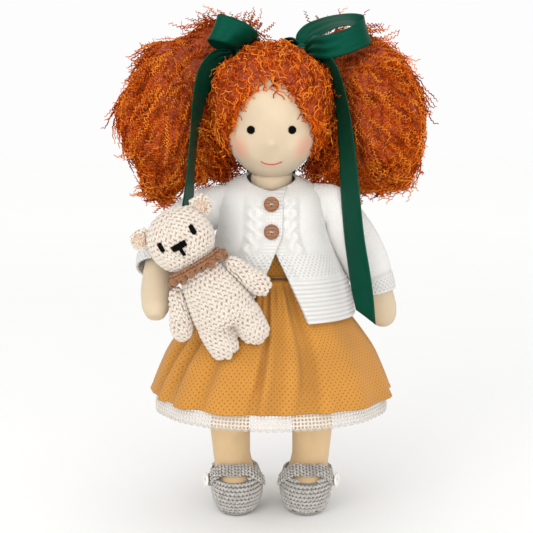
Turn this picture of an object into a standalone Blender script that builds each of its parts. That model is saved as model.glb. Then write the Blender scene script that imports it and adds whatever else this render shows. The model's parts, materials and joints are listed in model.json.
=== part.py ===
"""Waldorf doll with ribboned pigtails, a knitted cardigan, a gathered dress and a crochet bear.

Metres, +Z up. The doll faces -Y and its left side is at +X. The floor is at z = 0.
"""

import math

import bpy
import bmesh
from mathutils import Matrix, Vector

# Where the doll's upright axis stands, from the middle of the whole model's box
AXIS_X = -0.0009
AXIS_Y = 0.0010

# Seams and clearances
GAP = 0.0003
PRESS_GAP = 0.0005
SWING_GAP = 0.0010

# Stuffed torso
HIP_HEIGHT = 0.172
TORSO_BELOW_HIP = 0.014
TORSO_HEIGHT = 0.112
TORSO_WIDTH = 0.078
TORSO_DEPTH = 0.064
TORSO_SIDES = 24
TORSO_SHARES = (
    (0.00, 0.45, 0.50),
    (0.08, 0.85, 0.85),
    (0.20, 1.00, 1.00),
    (0.38, 0.90, 0.92),
    (0.62, 0.93, 0.97),
    (0.80, 0.93, 0.95),
    (0.90, 0.90, 0.86),
    (0.96, 0.74, 0.68),
    (1.00, 0.50, 0.52),
)

# Neck
NECK_RADIUS = 0.0155
NECK_SINK = 0.010
NECK_RISE = 0.016
NECK_SIDES = 16

# Head: a firm ball with a tied eye line
HEAD_ABOVE_TORSO = 0.0070
HEAD_HEIGHT = 0.1075
HEAD_WIDTH = 0.087
HEAD_DEPTH = 0.090
HEAD_SIDES = 24
HEAD_SHARES = (
    (0.00, 0.10, 0.10, 0.10),
    (0.03, 0.27, 0.30, 0.27),
    (0.10, 0.50, 0.62, 0.50),
    (0.20, 0.74, 0.86, 0.70),
    (0.30, 0.87, 0.96, 0.84),
    (0.40, 0.945, 0.935, 0.92),
    (0.50, 0.985, 0.965, 0.98),
    (0.60, 1.00, 0.98, 1.00),
    (0.70, 0.97, 0.94, 0.98),
    (0.80, 0.88, 0.84, 0.90),
    (0.90, 0.69, 0.65, 0.72),
    (0.96, 0.47, 0.44, 0.50),
    (1.00, 0.12, 0.12, 0.12),
)
NOSE_RISE = 0.0050
NOSE_HEIGHT_SHARE = 0.315
NOSE_SPREAD_SHARE = 0.045
CHEEK_RISE = 0.0015
CHEEK_HEIGHT_SHARE = 0.25
CHEEK_TURN = 32

# Embroidered eyes and mouth
EYE_WIDTH = 0.0058
EYE_HEIGHT = 0.0064
EYE_SPACING = 0.0340
EYE_HEIGHT_SHARE = 0.400
STITCH_THICKNESS = 0.0009
MOUTH_WIDTH = 0.0180
MOUTH_DROP = 0.0018
MOUTH_HEIGHT_SHARE = 0.150
MOUTH_THREAD = 0.0013

# Ears
EAR_LENGTH = 0.0135
EAR_WIDTH = 0.0070
EAR_STANDOFF = 0.0075
EAR_HEIGHT_SHARE = 0.395
EAR_TURN = 74

# Mohair cap on the head
CAP_THICKNESS = 0.0070
CAP_EDGE_SHARE = 0.45
CAP_CORNER_FULLNESS = 0.0035
CAP_SIDES = 24
CAP_ROWS = 6
CAP_ROOT_DEPTH = 0.008
CAP_HAIRLINE_SHARES = (
    (0.0, 0.755),
    (0.045, 0.690),
    (0.080, 0.560),
    (0.120, 0.420),
    (0.155, 0.320),
    (0.190, 0.235),
    (0.240, 0.160),
    (0.370, 0.158),
    (0.500, 0.140),
)

# Pigtails: big round bunches of crimped mohair
PIGTAIL_RADIUS = 0.100
PIGTAIL_FRONT = 0.046
PIGTAIL_REAR = 0.048
PIGTAIL_CENTRE_OUT = 0.079
PIGTAIL_CENTRE_ABOVE_CHIN = 0.0595
PIGTAIL_BACK = 0.012
PIGTAIL_SIDES = 24
PIGTAIL_ROWS = 8
PIGTAIL_WAVE_SHARE = 0.045
PIGTAIL_ROOT_OUT = 0.042
PIGTAIL_SWELL = 0.055
PIGTAIL_ROOT_SHARE = 0.22
PIGTAIL_BOW_OUT = 0.086
PIGTAIL_BOW_UP = 0.099
PIGTAIL_BOW_FADE = 0.030
PIGTAIL_BOW_RECESS = 0.024
PIGTAIL_RIGHT_SHARES = (
    (0, 0.42), (20, 0.50), (34, 0.82), (46, 0.98), (56, 0.955), (66, 0.820), (78, 0.700), (93, 0.600),
    (114, 0.530), (139, 0.490), (163, 0.480), (187, 0.490), (209, 0.520), (225, 0.600),
    (240, 0.660), (256, 0.728), (268, 0.715), (280, 0.655), (293, 0.640), (303, 0.680), (311, 0.655),
    (320, 0.610), (332, 0.520), (345, 0.450),
)
PIGTAIL_LEFT_SHARES = (
    (0, 0.42), (20, 0.48), (34, 0.74), (46, 0.850), (58, 0.780), (73, 0.720), (88, 0.650),
    (104, 0.600), (120, 0.540), (142, 0.490), (163, 0.495), (182, 0.510), (200, 0.560),
    (218, 0.604), (235, 0.670), (250, 0.750), (265, 0.705), (279, 0.655), (293, 0.640), (303, 0.680),
    (311, 0.655), (320, 0.610), (332, 0.520), (345, 0.450),
)

# Satin ribbons
RIBBON_WIDTH = 0.022
RIBBON_THICKNESS = 0.0006
BOW_OUT = 0.0260
BOW_BACK = 0.0160
BOW_BELOW_CROWN = 0.0002
KNOT_WIDTH = 0.0110
KNOT_HEIGHT = 0.0120
KNOT_DEPTH = 0.0100
LOOP_LENGTH = 0.0450
LOOP_STEPS = 13
TAIL_STEPS = 17
BACK_TAIL_STEPS = 12
TAIL_LENGTH = 0.215
BACK_TAIL_LENGTH = 0.120
HAIR_POCKET = 0.0012

# Arms
SHOULDER_ABOVE_HIP = 0.085
ARM_ROOT_RADIUS = 0.0105
ARM_GAP = 0.0004
ARM_SPAN = 0.0585
ARM_DROP = 0.1030
HAND_RADIUS = 0.0130
ARM_SIDES = 14

# Legs
HIP_SPACING = 0.052
LEG_TOP_RADIUS = 0.0190
ANKLE_HEIGHT = 0.034
LEG_SPLAY = 0.0085
LEG_WIDTH = 0.0345
LEG_SIDES = 18
HIP_FORWARD_LIMIT = 22
HIP_BACK_LIMIT = 20
HIP_ROOM_STEPS = 14

# Feet and shoes
FOOT_SPACING = 0.0584
FOOT_WIDTH = 0.0360
FOOT_LENGTH = 0.0560
FOOT_SET_FORWARD = 0.0110
SHOE_WALL = 0.0032
SOLE_THICKNESS = 0.0030
SHOE_SIDES = 18
VAMP_HEIGHT = 0.0270
HEEL_HEIGHT = 0.0340
STRAP_WIDTH = 0.0068
STRAP_THICKNESS = 0.0030
STRAP_HEIGHT = 0.0345
STRAP_HALF_TURN = 78
SHOE_BUTTON_RADIUS = 0.0060
SHOE_BUTTON_THICKNESS = 0.0022

# Dress
DRESS_THICKNESS = 0.0012
NECKLINE_RISE = 0.0045
SKIRT_LENGTH = 0.101
SKIRT_WIDTH = 0.205
SKIRT_DEPTH = 0.180
WAIST_SHARE = 0.38
SKIRT_SIDES = 60
SKIRT_FOLDS = 15
FOLD_DEPTH = 0.0042
SKIRT_ROW_SHARES = (0, 0.13, 0.36, 0.60, 0.78, 0.92, 1.0)
SKIRT_SHARES = (
    (-0.20, 1.000, 1.000),
    (0.00, 1.000, 1.000),
    (0.13, 0.955, 0.955),
    (0.39, 0.845, 0.840),
    (0.58, 0.715, 0.700),
    (0.66, 0.622, 0.625),
    (0.78, 0.545, 0.555),
    (0.90, 0.470, 0.500),
    (0.965, 0.405, 0.440),
    (1.00, 0.360, 0.368),
)
PETTICOAT_GAP = 0.0018
PETTICOAT_SIDES = 36
PETTICOAT_TOP_SHARE = 0.95
PETTICOAT_ROW_SHARES = (0, 0.25, 0.55, 0.8, 1.0)
PETTICOAT_HEM_SHARE = 0.06
LACE_DROP = 0.0165
LACE_THICKNESS = 0.0010
LACE_SCALLOP = 0.0020
LACE_FLARE = 0.0045

# Cardigan
KNIT_THICKNESS = 0.0024
CARDIGAN_HEM_BELOW_HIP = 0.0060
CARDIGAN_HEIGHT = 0.118
CARDIGAN_WIDTH = 0.142
CARDIGAN_DEPTH = 0.124
CARDIGAN_SIDES = 28
NECK_DROP_SHARE = 0.105
NECK_DROP_TURN = 70
YOKE_SHARE = 0.75
SHOULDER_SEAT_RADIUS = 0.0260
ARMHOLE_RADIUS = 0.0150
CARDIGAN_SHARES = (
    # Height, half width, half depth, and the roundness of the outline, which is 1 for an ellipse
    (0.000, 1.000, 1.000, 1.00),
    (0.136, 0.958, 0.919, 1.00),
    (0.263, 0.887, 0.839, 0.98),
    (0.428, 0.741, 0.750, 0.90),
    (0.540, 0.660, 0.710, 0.80),
    (0.640, 0.630, 0.685, 0.70),
    (0.750, 0.635, 0.650, 0.66),
    (0.850, 0.635, 0.590, 0.66),
    (0.925, 0.605, 0.520, 0.70),
    (0.965, 0.510, 0.455, 0.85),
    (1.000, 0.365, 0.375, 1.00),
)
UNDER_EDGE_SHARES = (
    (0.00, 0.415), (0.136, 0.320), (0.28, 0.204), (0.45, 0.063), (0.52, 0.005), (0.60, -0.085), (1.0, -0.085),
)
TOP_EDGE_SHARES = (
    (0.00, -0.366), (0.136, -0.225), (0.28, -0.100), (0.45, 0.025), (0.52, 0.070), (0.60, 0.120), (1.0, 0.120),
)
OVERLAP_TURN = 62
BUTTON_RADIUS = 0.0062
BUTTON_THICKNESS = 0.0024
BUTTON_HOLE_RADIUS = 0.0008
BUTTON_HOLE_SPACING = 0.0028
BUTTON_SPACING = 0.0215
BUTTON_BELOW_NECK = 0.0110

# Sleeves
SLEEVE_SPAN = 0.0600
SLEEVE_DROP = 0.0940
SLEEVE_SEAM_OUT = 0.0442
SLEEVE_TOP_ABOVE_SHOULDER = 0.0170
SLEEVE_SIDES = 16
SLEEVE_THICKNESS = 0.0022
SLEEVE_INNER_SHARES = ((0.0, 0.372), (0.024, 0.420), (0.068, 0.480), (0.154, 0.603), (0.320, 0.793), (0.436, 0.947), (0.461, 0.995))
SLEEVE_OUTER_SHARES = ((0.0, 0.0), (0.212, 0.011), (0.436, 0.128), (0.668, 0.351), (0.900, 0.628), (0.992, 0.867), (1.0, 0.920))
SLEEVE_DEPTH_SHARES = (0.186, 0.197, 0.200, 0.202, 0.197, 0.182, 0.180)

# Bent right arm: places as shares of its span out, its reach forward and its drop
BENT_SPAN = 0.0490
BENT_REACH = 0.0600
BENT_DROP = 0.0820
BENT_SLEEVE_SHARES = (
    ((0.000, 0.00, 0.005), (1.0, 0.0, 0.0), 0.932),
    ((0.170, 0.00, 0.040), (0.90, 0.0, -0.43), 0.985),
    ((0.430, 0.02, 0.150), (0.76, -0.05, -0.65), 0.985),
    ((0.720, 0.07, 0.290), (0.62, -0.30, -0.72), 0.985),
    ((0.900, 0.21, 0.390), (0.33, -0.62, -0.71), 0.960),
    ((0.975, 0.40, 0.480), (0.10, -0.62, -0.78), 0.900),
    ((0.985, 0.54, 0.600), (0.0, -0.56, -0.83), 0.860),
)
BENT_ARM_SHARES = (
    ((0.000, 0.00, 0.005), (1.0, 0.0, 0.0), 1.0),
    ((0.200, 0.00, 0.040), (0.90, 0.0, -0.43), 1.0),
    ((0.450, 0.02, 0.150), (0.76, -0.05, -0.65), 1.0),
    ((0.720, 0.07, 0.290), (0.62, -0.30, -0.72), 1.0),
    ((0.900, 0.21, 0.390), (0.33, -0.62, -0.71), 1.0),
    ((0.975, 0.42, 0.500), (0.08, -0.62, -0.78), 1.02),
    ((0.985, 0.58, 0.640), (0.0, -0.56, -0.83), 1.12),
    ((0.985, 0.75, 0.810), (0.0, -0.56, -0.83), 1.24),
    ((0.985, 0.90, 0.950), (0.0, -0.56, -0.83), 1.06),
    ((0.985, 0.99, 1.035), (0.0, -0.56, -0.83), 0.66),
)
BENT_SLEEVE_RADIUS = 0.0188

# Crochet bear, upright in its own frame about the middle of its neck
BEAR_OUT = 0.0590
BEAR_FORWARD = 0.0660
BEAR_NECK_ABOVE_HIP = 0.0430
BEAR_TILT = 30
BEAR_HEAD_WIDTH = 0.0530
BEAR_HEAD_HEIGHT = 0.0500
BEAR_HEAD_DEPTH = 0.0460
BEAR_NECK_TO_HEAD = 0.0240
BEAR_NECK_RADIUS = 0.0135
BEAR_BODY_WIDTH = 0.0500
BEAR_BODY_DEPTH = 0.0400
BEAR_BODY_LENGTH = 0.0600
BEAR_LEG_WIDTH = 0.0246
BEAR_LEG_SPACING = 0.0270
BEAR_LEG_LENGTH = 0.0300
BEAR_ARM_LENGTH = 0.0370
BEAR_ARM_WIDTH = 0.0180
BEAR_ARM_OUT = 0.0245
BEAR_ARM_BELOW_NECK = 0.0130
BEAR_ARM_SLOPE = 24
BEAR_ARM_LIMIT = 45
BEAR_EAR_RADIUS = 0.0092
BEAR_EAR_THICKNESS = 0.0075
BEAR_EAR_OUT = 0.0265
BEAR_EAR_UP = 0.0150
BEAR_EYE_SPACING = 0.0280
BEAR_EYE_UP = 0.0032
BEAR_EYE_LENGTH = 0.0078
BEAR_EYE_WIDTH = 0.0030
BEAR_NOSE_WIDTH = 0.0120
BEAR_NOSE_HEIGHT = 0.0045
BEAR_NOSE_DOWN = 0.0036
BEAR_YARN = 0.0014
BEAR_SIDES = 16
COLLAR_RADIUS = 0.0195
COLLAR_THICKNESS = 0.0100
COLLAR_BOBBLES = 12
COLLAR_SIDES = 7

# Sampling
STEP_SHARE = 0.001
CUT_MARGIN = 0.004

FINISHES = {
    "skin": ((0.84, 0.69, 0.47), 0.90),
    "mohair": ((0.60, 0.17, 0.035), 0.75),
    "satin": ((0.006, 0.085, 0.055), 0.30),
    "mustard_cotton": ((0.80, 0.42, 0.09), 0.90),
    "white_knit": ((0.90, 0.89, 0.87), 0.95),
    "white_cotton": ((0.92, 0.92, 0.91), 0.90),
    "grey_crochet": ((0.50, 0.49, 0.47), 0.95),
    "cream_crochet": ((0.86, 0.79, 0.68), 0.95),
    "brown_crochet": ((0.42, 0.17, 0.06), 0.95),
    "wood": ((0.27, 0.10, 0.04), 0.50),
    "white_button": ((0.85, 0.85, 0.84), 0.35),
    "black_thread": ((0.012, 0.009, 0.007), 0.60),
    "red_thread": ((0.62, 0.17, 0.13), 0.70),
}

materials = {}
pivots = {}


def start_scene():
    """Clears the scene and makes the empty that carries the whole doll."""
    for old in list(bpy.data.objects):
        bpy.data.objects.remove(old, do_unlink=True)
    for name, (colour, roughness) in FINISHES.items():
        material = bpy.data.materials.new(name)
        material.use_nodes = True
        shader = material.node_tree.nodes["Principled BSDF"]
        shader.inputs["Base Color"].default_value = (*colour, 1)
        shader.inputs["Roughness"].default_value = roughness
        shader.inputs["Metallic"].default_value = 0
        material.diffuse_color = (*colour, 1)
        materials[name] = material
    add_pivot("doll_axis", (0, 0, 0), None)
    bpy.data.objects["doll_axis"].location = (AXIS_X, AXIS_Y, 0)


def add_pivot(name, place, parent, tilt=0):
    """An empty on a joint's axis. Its place is in the doll's own frame, and tilt turns it about +Y."""
    empty = bpy.data.objects.new(name, None)
    bpy.context.scene.collection.objects.link(empty)
    empty.location = Vector(place) - (pivots[parent][0] if parent else Vector((0, 0, 0)))
    empty.rotation_euler = (0, math.radians(tilt), 0)
    empty.empty_display_size = GAP
    if parent:
        empty.parent = bpy.data.objects[parent]
    pivots[name] = (Vector(place), tilt)
    return empty


def solid(name, points, faces, finish, pivot="doll_axis", local=False):
    """One closed mesh object on its pivot. Points are in the doll's frame, or in the pivot's with local."""
    place = Vector((0, 0, 0)) if local else pivots[pivot][0]
    mesh = bpy.data.meshes.new(name)
    mesh.from_pydata([Vector(point) - place for point in points], [], faces)
    shape = bmesh.new()
    shape.from_mesh(mesh)
    bmesh.ops.recalc_face_normals(shape, faces=shape.faces)
    shape.to_mesh(mesh)
    shape.free()
    mesh.shade_smooth()
    obj = bpy.data.objects.new(name, mesh)
    obj.parent = bpy.data.objects[pivot]
    bpy.context.scene.collection.objects.link(obj)
    if finish:
        mesh.materials.append(materials[finish])
    else:
        obj.hide_render = True
        obj.display_type = "WIRE"
    return obj


def grown(obj, clearance):
    """A hidden copy of a piece with every point moved out by the clearance, to cut its neighbours with."""
    cutter = obj.copy()
    cutter.name = obj.name + "_room"
    cutter.data = obj.data.copy()
    cutter.modifiers.clear()
    cutter.hide_render = True
    cutter.display_type = "WIRE"
    bpy.context.scene.collection.objects.link(cutter)
    shape = bmesh.new()
    shape.from_mesh(cutter.data)
    shape.normal_update()
    moves = [(vertex, vertex.normal * clearance) for vertex in shape.verts]
    for vertex, move in moves:
        vertex.co += move
    shape.to_mesh(cutter.data)
    shape.free()
    return cutter


def boolean(obj, other, operation="DIFFERENCE"):
    """Cuts the other shape from a piece, or joins it to the piece, with a live modifier."""
    modifier = obj.modifiers.new(other.name, "BOOLEAN")
    modifier.operation = operation
    modifier.solver = "EXACT"
    modifier.object = other


def strip_faces(first, second, closed):
    """Quads between two rows of vertex numbers."""
    last = len(first) if closed else len(first) - 1
    return [
        (first[i], first[(i + 1) % len(first)], second[(i + 1) % len(second)], second[i])
        for i in range(last)
    ]


def lofted(name, rings, finish, pivot="doll_axis", local=False):
    """A closed body through rings of equal count, its two ends closed flat."""
    points = [point for ring in rings for point in ring]
    count = len(rings[0])
    rows = [list(range(i * count, (i + 1) * count)) for i in range(len(rings))]
    faces = [face for a, b in zip(rows, rows[1:]) for face in strip_faces(a, b, True)]
    faces += [tuple(rows[0]), tuple(reversed(rows[-1]))]
    return solid(name, points, faces, finish, pivot, local)


def shell(name, outer, inner, finish, closed=True, pivot="doll_axis", local=False, crowned=False):
    """A cloth-like solid between an outer and an inner grid of points.

    The rows of a closed shell run round it. A crowned one has its first row at a pole, which is closed flat.
    """
    count = len(outer[0])
    rows_out = [list(range(i * count, (i + 1) * count)) for i in range(len(outer))]
    start = len(outer) * count
    rows_in = [[number + start for number in row] for row in rows_out]
    faces = []
    for a, b in zip(rows_out, rows_out[1:]):
        faces += strip_faces(a, b, closed)
    for a, b in zip(rows_in, rows_in[1:]):
        faces += strip_faces(b, a, closed)
    faces += strip_faces(rows_out[-1], rows_in[-1], closed)
    if crowned:
        faces += [tuple(rows_out[0]), tuple(reversed(rows_in[0]))]
    else:
        faces += strip_faces(rows_in[0], rows_out[0], closed)
    if not closed:
        for end in (0, -1):
            side_out = [row[end] for row in rows_out]
            side_in = [row[end] for row in rows_in]
            faces += strip_faces(side_out, side_in, False)
    points = [point for grid in (outer, inner) for row in grid for point in row]
    return solid(name, points, faces, finish, pivot, local)


def along(table, at, column=1):
    """A smooth value between the rows of a table whose first column rises."""
    rows = [row[0] for row in table]
    values = [row[column] for row in table]
    if at <= rows[0]:
        return values[0]
    if at >= rows[-1]:
        return values[-1]
    i = max(k for k in range(len(rows) - 1) if rows[k] <= at)
    span = rows[i + 1] - rows[i]
    t = (at - rows[i]) / span

    def slope(k):
        low = max(k - 1, 0)
        high = min(k + 1, len(rows) - 1)
        return (values[high] - values[low]) / (rows[high] - rows[low])

    h1 = 2 * t**3 - 3 * t**2 + 1
    h2 = t**3 - 2 * t**2 + t
    h3 = 3 * t**2 - 2 * t**3
    h4 = t**3 - t**2
    return h1 * values[i] + h2 * span * slope(i) + h3 * values[i + 1] + h4 * span * slope(i + 1)


def straight(table, at, column=1):
    """A value on the straight lines between a table's rows."""
    for low, high in zip(table, table[1:]):
        if at <= high[0]:
            t = (at - low[0]) / (high[0] - low[0])
            return low[column] + max(t, 0) * (high[column] - low[column])
    return table[-1][column]


def ellipse_point(turn, half_width, half_depth, height, offset=0):
    """A point at a turn from the front (-Y) towards +X on an ellipse, moved out by an offset in its plane."""
    out = Vector((math.sin(turn) / half_width, -math.cos(turn) / half_depth, 0)).normalized()
    return Vector((half_width * math.sin(turn), -half_depth * math.cos(turn), height)) + out * offset


def turns(count):
    return [2 * math.pi * i / count for i in range(count)]


def swept(stations, sides):
    """Circular rings about stations of (centre, direction, radius), each ring's first point towards -Y."""
    rings = []
    for centre, direction, radius in stations:
        way = Vector(direction).normalized()
        forward = (Vector((0, -1, 0)) + way * way.y).normalized()
        side = way.cross(forward)
        rings.append([
            Vector(centre) + radius * (math.cos(t) * forward + math.sin(t) * side) for t in turns(sides)
        ])
    return rings


def outward(surface, a, b):
    """The unit normal of a surface function of two values, which grows to the right and upwards."""
    across = surface(a + STEP_SHARE, b) - surface(a - STEP_SHARE, b)
    up = surface(a, b + STEP_SHARE) - surface(a, b - STEP_SHARE)
    return across.cross(up).normalized()


def offset_point(surface, a, b, distance):
    return surface(a, b) + outward(surface, a, b) * distance


# Heights that several pieces share

def torso_bottom():
    return HIP_HEIGHT - TORSO_BELOW_HIP


def torso_top():
    return torso_bottom() + TORSO_HEIGHT


def waist_height():
    return torso_bottom() + WAIST_SHARE * TORSO_HEIGHT


def shoulder_height():
    return HIP_HEIGHT + SHOULDER_ABOVE_HIP


def head_bottom():
    return torso_top() + HEAD_ABOVE_TORSO


def crown_height():
    return head_bottom() + HEAD_HEIGHT


def skirt_hem():
    return waist_height() - 2 * GAP - SKIRT_LENGTH


# Torso and neck

def torso_ring(share, offset):
    half_width = straight(TORSO_SHARES, share, 1) * TORSO_WIDTH / 2
    half_depth = straight(TORSO_SHARES, share, 2) * TORSO_DEPTH / 2
    height = torso_bottom() + share * TORSO_HEIGHT
    return [ellipse_point(t, half_width, half_depth, height, offset) for t in turns(TORSO_SIDES)]


def make_torso():
    torso = lofted("torso", [torso_ring(row[0], 0) for row in TORSO_SHARES], "skin")
    for side, label in ((-1, "right"), (1, "left")):
        boolean(torso, hip_room(side, label))
    return torso


def hip_room(side, label):
    """The notch that a leg's round top turns in: a roller about the hip's axis, open below."""
    radius = LEG_TOP_RADIUS + SWING_GAP
    back, front = math.radians(HIP_BACK_LIMIT), math.radians(HIP_FORWARD_LIMIT)
    profile = []
    for step in range(HIP_ROOM_STEPS + 1):
        turn = back + (math.pi - front - back) * step / HIP_ROOM_STEPS
        profile.append((radius * math.cos(turn), radius * math.sin(turn)))
    below = LEG_TOP_RADIUS + 2 * TORSO_BELOW_HIP
    y, z = profile[-1]
    profile.append((y - below * math.sin(front), z - below * math.cos(front)))
    y, z = profile[0]
    profile.append((y + below * math.sin(back), z - below * math.cos(back)))
    rings = []
    for reach in (-radius, radius):
        x = side * HIP_SPACING / 2 + reach
        rings.append([Vector((x, y, HIP_HEIGHT + z)) for y, z in profile])
    return lofted(f"hip_room_{label}", rings, None)


def make_neck(torso, head):
    low = torso_top() - NECK_SINK
    high = torso_top() + NECK_RISE
    stations = [((0, 0, height), (0, 0, 1), NECK_RADIUS) for height in (low, torso_top(), high)]
    neck = lofted("neck", swept(stations, NECK_SIDES), "skin")
    boolean(neck, grown(torso, GAP))
    boolean(neck, grown(head, PRESS_GAP))


# Head

def head_point(turn, share):
    """The head's skin at a turn from the face towards +X, in radians, and a share of the head's height."""
    half_width = along(HEAD_SHARES, share, 1) * HEAD_WIDTH / 2
    column = 2 if math.cos(turn) > 0 else 3
    half_depth = along(HEAD_SHARES, share, column) * HEAD_DEPTH / 2
    point = Vector((half_width * math.sin(turn), -half_depth * math.cos(turn), 0))
    point.z = head_bottom() + share * HEAD_HEIGHT
    up = (share - NOSE_HEIGHT_SHARE) * HEAD_HEIGHT
    spread = NOSE_SPREAD_SHARE * HEAD_HEIGHT
    if math.cos(turn) > 0:
        point.y -= NOSE_RISE * math.exp(-(point.x**2 + up**2) / spread**2)
        for side in (-1, 1):
            cheek = math.sin(turn - side * math.radians(CHEEK_TURN)) * HEAD_WIDTH / 2
            rise = (share - CHEEK_HEIGHT_SHARE) * HEAD_HEIGHT
            point.y -= CHEEK_RISE * math.exp(-(cheek**2 + rise**2) / (2 * spread) ** 2)
    return point


def head_turns():
    """Closer together at the face, where the nose is."""
    return [t - 0.35 * math.sin(t) for t in turns(HEAD_SIDES)]


def make_head():
    shares = [row[0] for row in HEAD_SHARES]
    shares += [NOSE_HEIGHT_SHARE + NOSE_SPREAD_SHARE, NOSE_HEIGHT_SHARE - NOSE_SPREAD_SHARE]
    shares.append(MOUTH_HEIGHT_SHARE)
    rings = [[head_point(t, share) for t in head_turns()] for share in sorted(shares)]
    return lofted("head", rings, "skin", "neck_pivot")


def face_patch(name, x, share, half_width, half_height, thickness, finish):
    """A domed oval of satin stitch that lies on the face."""
    middle_turn = math.asin(x / (HEAD_WIDTH / 2))
    rings_out, rings_in = [], []
    for reach in (0.45, 1.0):
        ring_out, ring_in = [], []
        for t in turns(12):
            turn = middle_turn + reach * half_width * math.cos(t) / (HEAD_WIDTH / 2) / math.cos(middle_turn)
            height_share = share + reach * half_height * math.sin(t) / HEAD_HEIGHT
            lift = thickness * (1 if reach < 1 else 0.45)
            ring_out.append(offset_point(head_point, turn, height_share, GAP + lift))
            ring_in.append(offset_point(head_point, turn, height_share, GAP))
        rings_out.append(ring_out)
        rings_in.append(ring_in)
    return shell(name, rings_out, rings_in, finish, pivot="neck_pivot", crowned=True)


def make_face():
    for side, label in ((-1, "right"), (1, "left")):
        face_patch(
            f"eye_{label}", side * EYE_SPACING / 2, EYE_HEIGHT_SHARE,
            EYE_WIDTH / 2, EYE_HEIGHT / 2, STITCH_THICKNESS, "black_thread",
        )
    stations = []
    places = []
    steps = 8
    for i in range(steps + 1):
        across = 2 * i / steps - 1
        turn = across * MOUTH_WIDTH / HEAD_WIDTH
        share = MOUTH_HEIGHT_SHARE + MOUTH_DROP / HEAD_HEIGHT * across**2
        places.append(offset_point(head_point, turn, share, MOUTH_THREAD / 2 + GAP))
    for i, place in enumerate(places):
        way = places[min(i + 1, steps)] - places[max(i - 1, 0)]
        taper = math.sqrt(1 - 0.75 * (2 * i / steps - 1) ** 2)
        stations.append((place, way, MOUTH_THREAD / 2 * taper))
    lofted("mouth", swept(stations, 6), "red_thread", "neck_pivot")


def make_ears(head):
    rooms = []
    for side, label in ((-1, "right"), (1, "left")):
        turn = side * math.radians(EAR_TURN)
        centre = head_point(turn, EAR_HEIGHT_SHARE)
        out = outward(head_point, turn, EAR_HEIGHT_SHARE)
        across = out.cross(Vector((0, 0, 1))).normalized()
        rings = []
        for lift in (-0.4, -0.15, 0.3, 0.65, 0.9, 0.985):
            fullness = math.sqrt(1 - lift**2)
            ring = []
            for t in turns(12):
                offset = across * math.cos(t) * EAR_WIDTH / 2 + Vector((0, 0, 1)) * math.sin(t) * EAR_LENGTH / 2
                ring.append(centre + out * lift * EAR_STANDOFF + offset * fullness)
            rings.append(ring)
        ear = lofted(f"ear_{label}", rings, "skin", "neck_pivot")
        rooms.append(grown(ear, PRESS_GAP))
        boolean(ear, grown(head, GAP))
    return rooms


# Hair

def hairline(turn):
    share = abs(math.remainder(turn, 2 * math.pi)) / (2 * math.pi)
    return along(CAP_HAIRLINE_SHARES, share)


def cap_thickness(turn, share, depth):
    """Fullest over the ears' upper corners, thin at the hairline. Depth is 0 at the crown and 1 at the edge."""
    corner = math.sin(turn) ** 2 * math.exp(-(((share - 0.84) / 0.12) ** 2))
    edge = CAP_EDGE_SHARE + (1 - CAP_EDGE_SHARE) * math.sqrt(max(1 - depth**6, 0))
    return CAP_THICKNESS * edge + CAP_CORNER_FULLNESS * corner


def make_cap(head_room, ear_rooms):
    """A thick cap that is solid down to the head, which it is then cut to fit."""
    rings = []
    high = 0.985
    for row in range(CAP_ROWS + 1):
        depth = row / CAP_ROWS
        ring = []
        for turn in turns(CAP_SIDES):
            share = high + (hairline(turn) - high) * depth**0.8
            thickness = cap_thickness(turn, share, depth)
            ring.append(offset_point(head_point, turn, share, PRESS_GAP + thickness))
        rings.append(ring)
    rings.append([offset_point(head_point, turn, hairline(turn), -CAP_ROOT_DEPTH) for turn in turns(CAP_SIDES)])
    middle = Vector((0, 0, head_bottom() + HEAD_HEIGHT / 2))
    rings.append([middle.lerp(point, CAP_ROOT_DEPTH / HEAD_WIDTH) for point in rings[-1]])
    cap = lofted("hair_cap", rings, "mohair", "neck_pivot")
    room = grown(cap, GAP)
    for cutter in [head_room] + ear_rooms:
        boolean(cap, cutter)
    return room


def smooth_step(value):
    value = min(max(value, 0), 1)
    return value * value * (3 - 2 * value)


def pigtail_front(x):
    """How full the front is: shallow where the hair leaves the head."""
    away = smooth_step((abs(x) - PIGTAIL_ROOT_OUT) / PIGTAIL_SWELL)
    return PIGTAIL_ROOT_SHARE + (1 - PIGTAIL_ROOT_SHARE) * away


def pigtail_recess(x, z):
    """How far the hair stands back behind the bow."""
    near_bow = 1 - smooth_step((abs(x) - PIGTAIL_BOW_OUT) / PIGTAIL_BOW_FADE + 0.5)
    high = smooth_step((z - head_bottom() - PIGTAIL_BOW_UP) / PIGTAIL_BOW_FADE + 1)
    return PIGTAIL_BOW_RECESS * near_bow * high


def pigtail_point(side, table, turn, tilt):
    """A pigtail's surface. Turn goes from the head upwards and outwards, tilt from the back to the front."""
    degrees = math.degrees(turn) % 360
    reach = along(table + ((360, table[0][1]),), degrees) * PIGTAIL_RADIUS
    wave = math.sin(5 * turn + side) * math.cos(4 * tilt) + math.sin(3 * turn - 2 * side) * math.sin(3 * tilt)
    reach *= 1 + PIGTAIL_WAVE_SHARE * wave * math.cos(tilt)
    round_off = math.cos(tilt) ** 0.8
    x = side * (PIGTAIL_CENTRE_OUT - reach * round_off * math.cos(turn))
    z = head_bottom() + PIGTAIL_CENTRE_ABOVE_CHIN + reach * round_off * math.sin(turn)
    if tilt > 0:
        depth = PIGTAIL_FRONT * pigtail_front(x)
    else:
        depth = PIGTAIL_REAR * (1 + PIGTAIL_WAVE_SHARE * wave)
    return Vector((x, PIGTAIL_BACK + pigtail_recess(x, z) - depth * math.sin(tilt), z))


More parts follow.
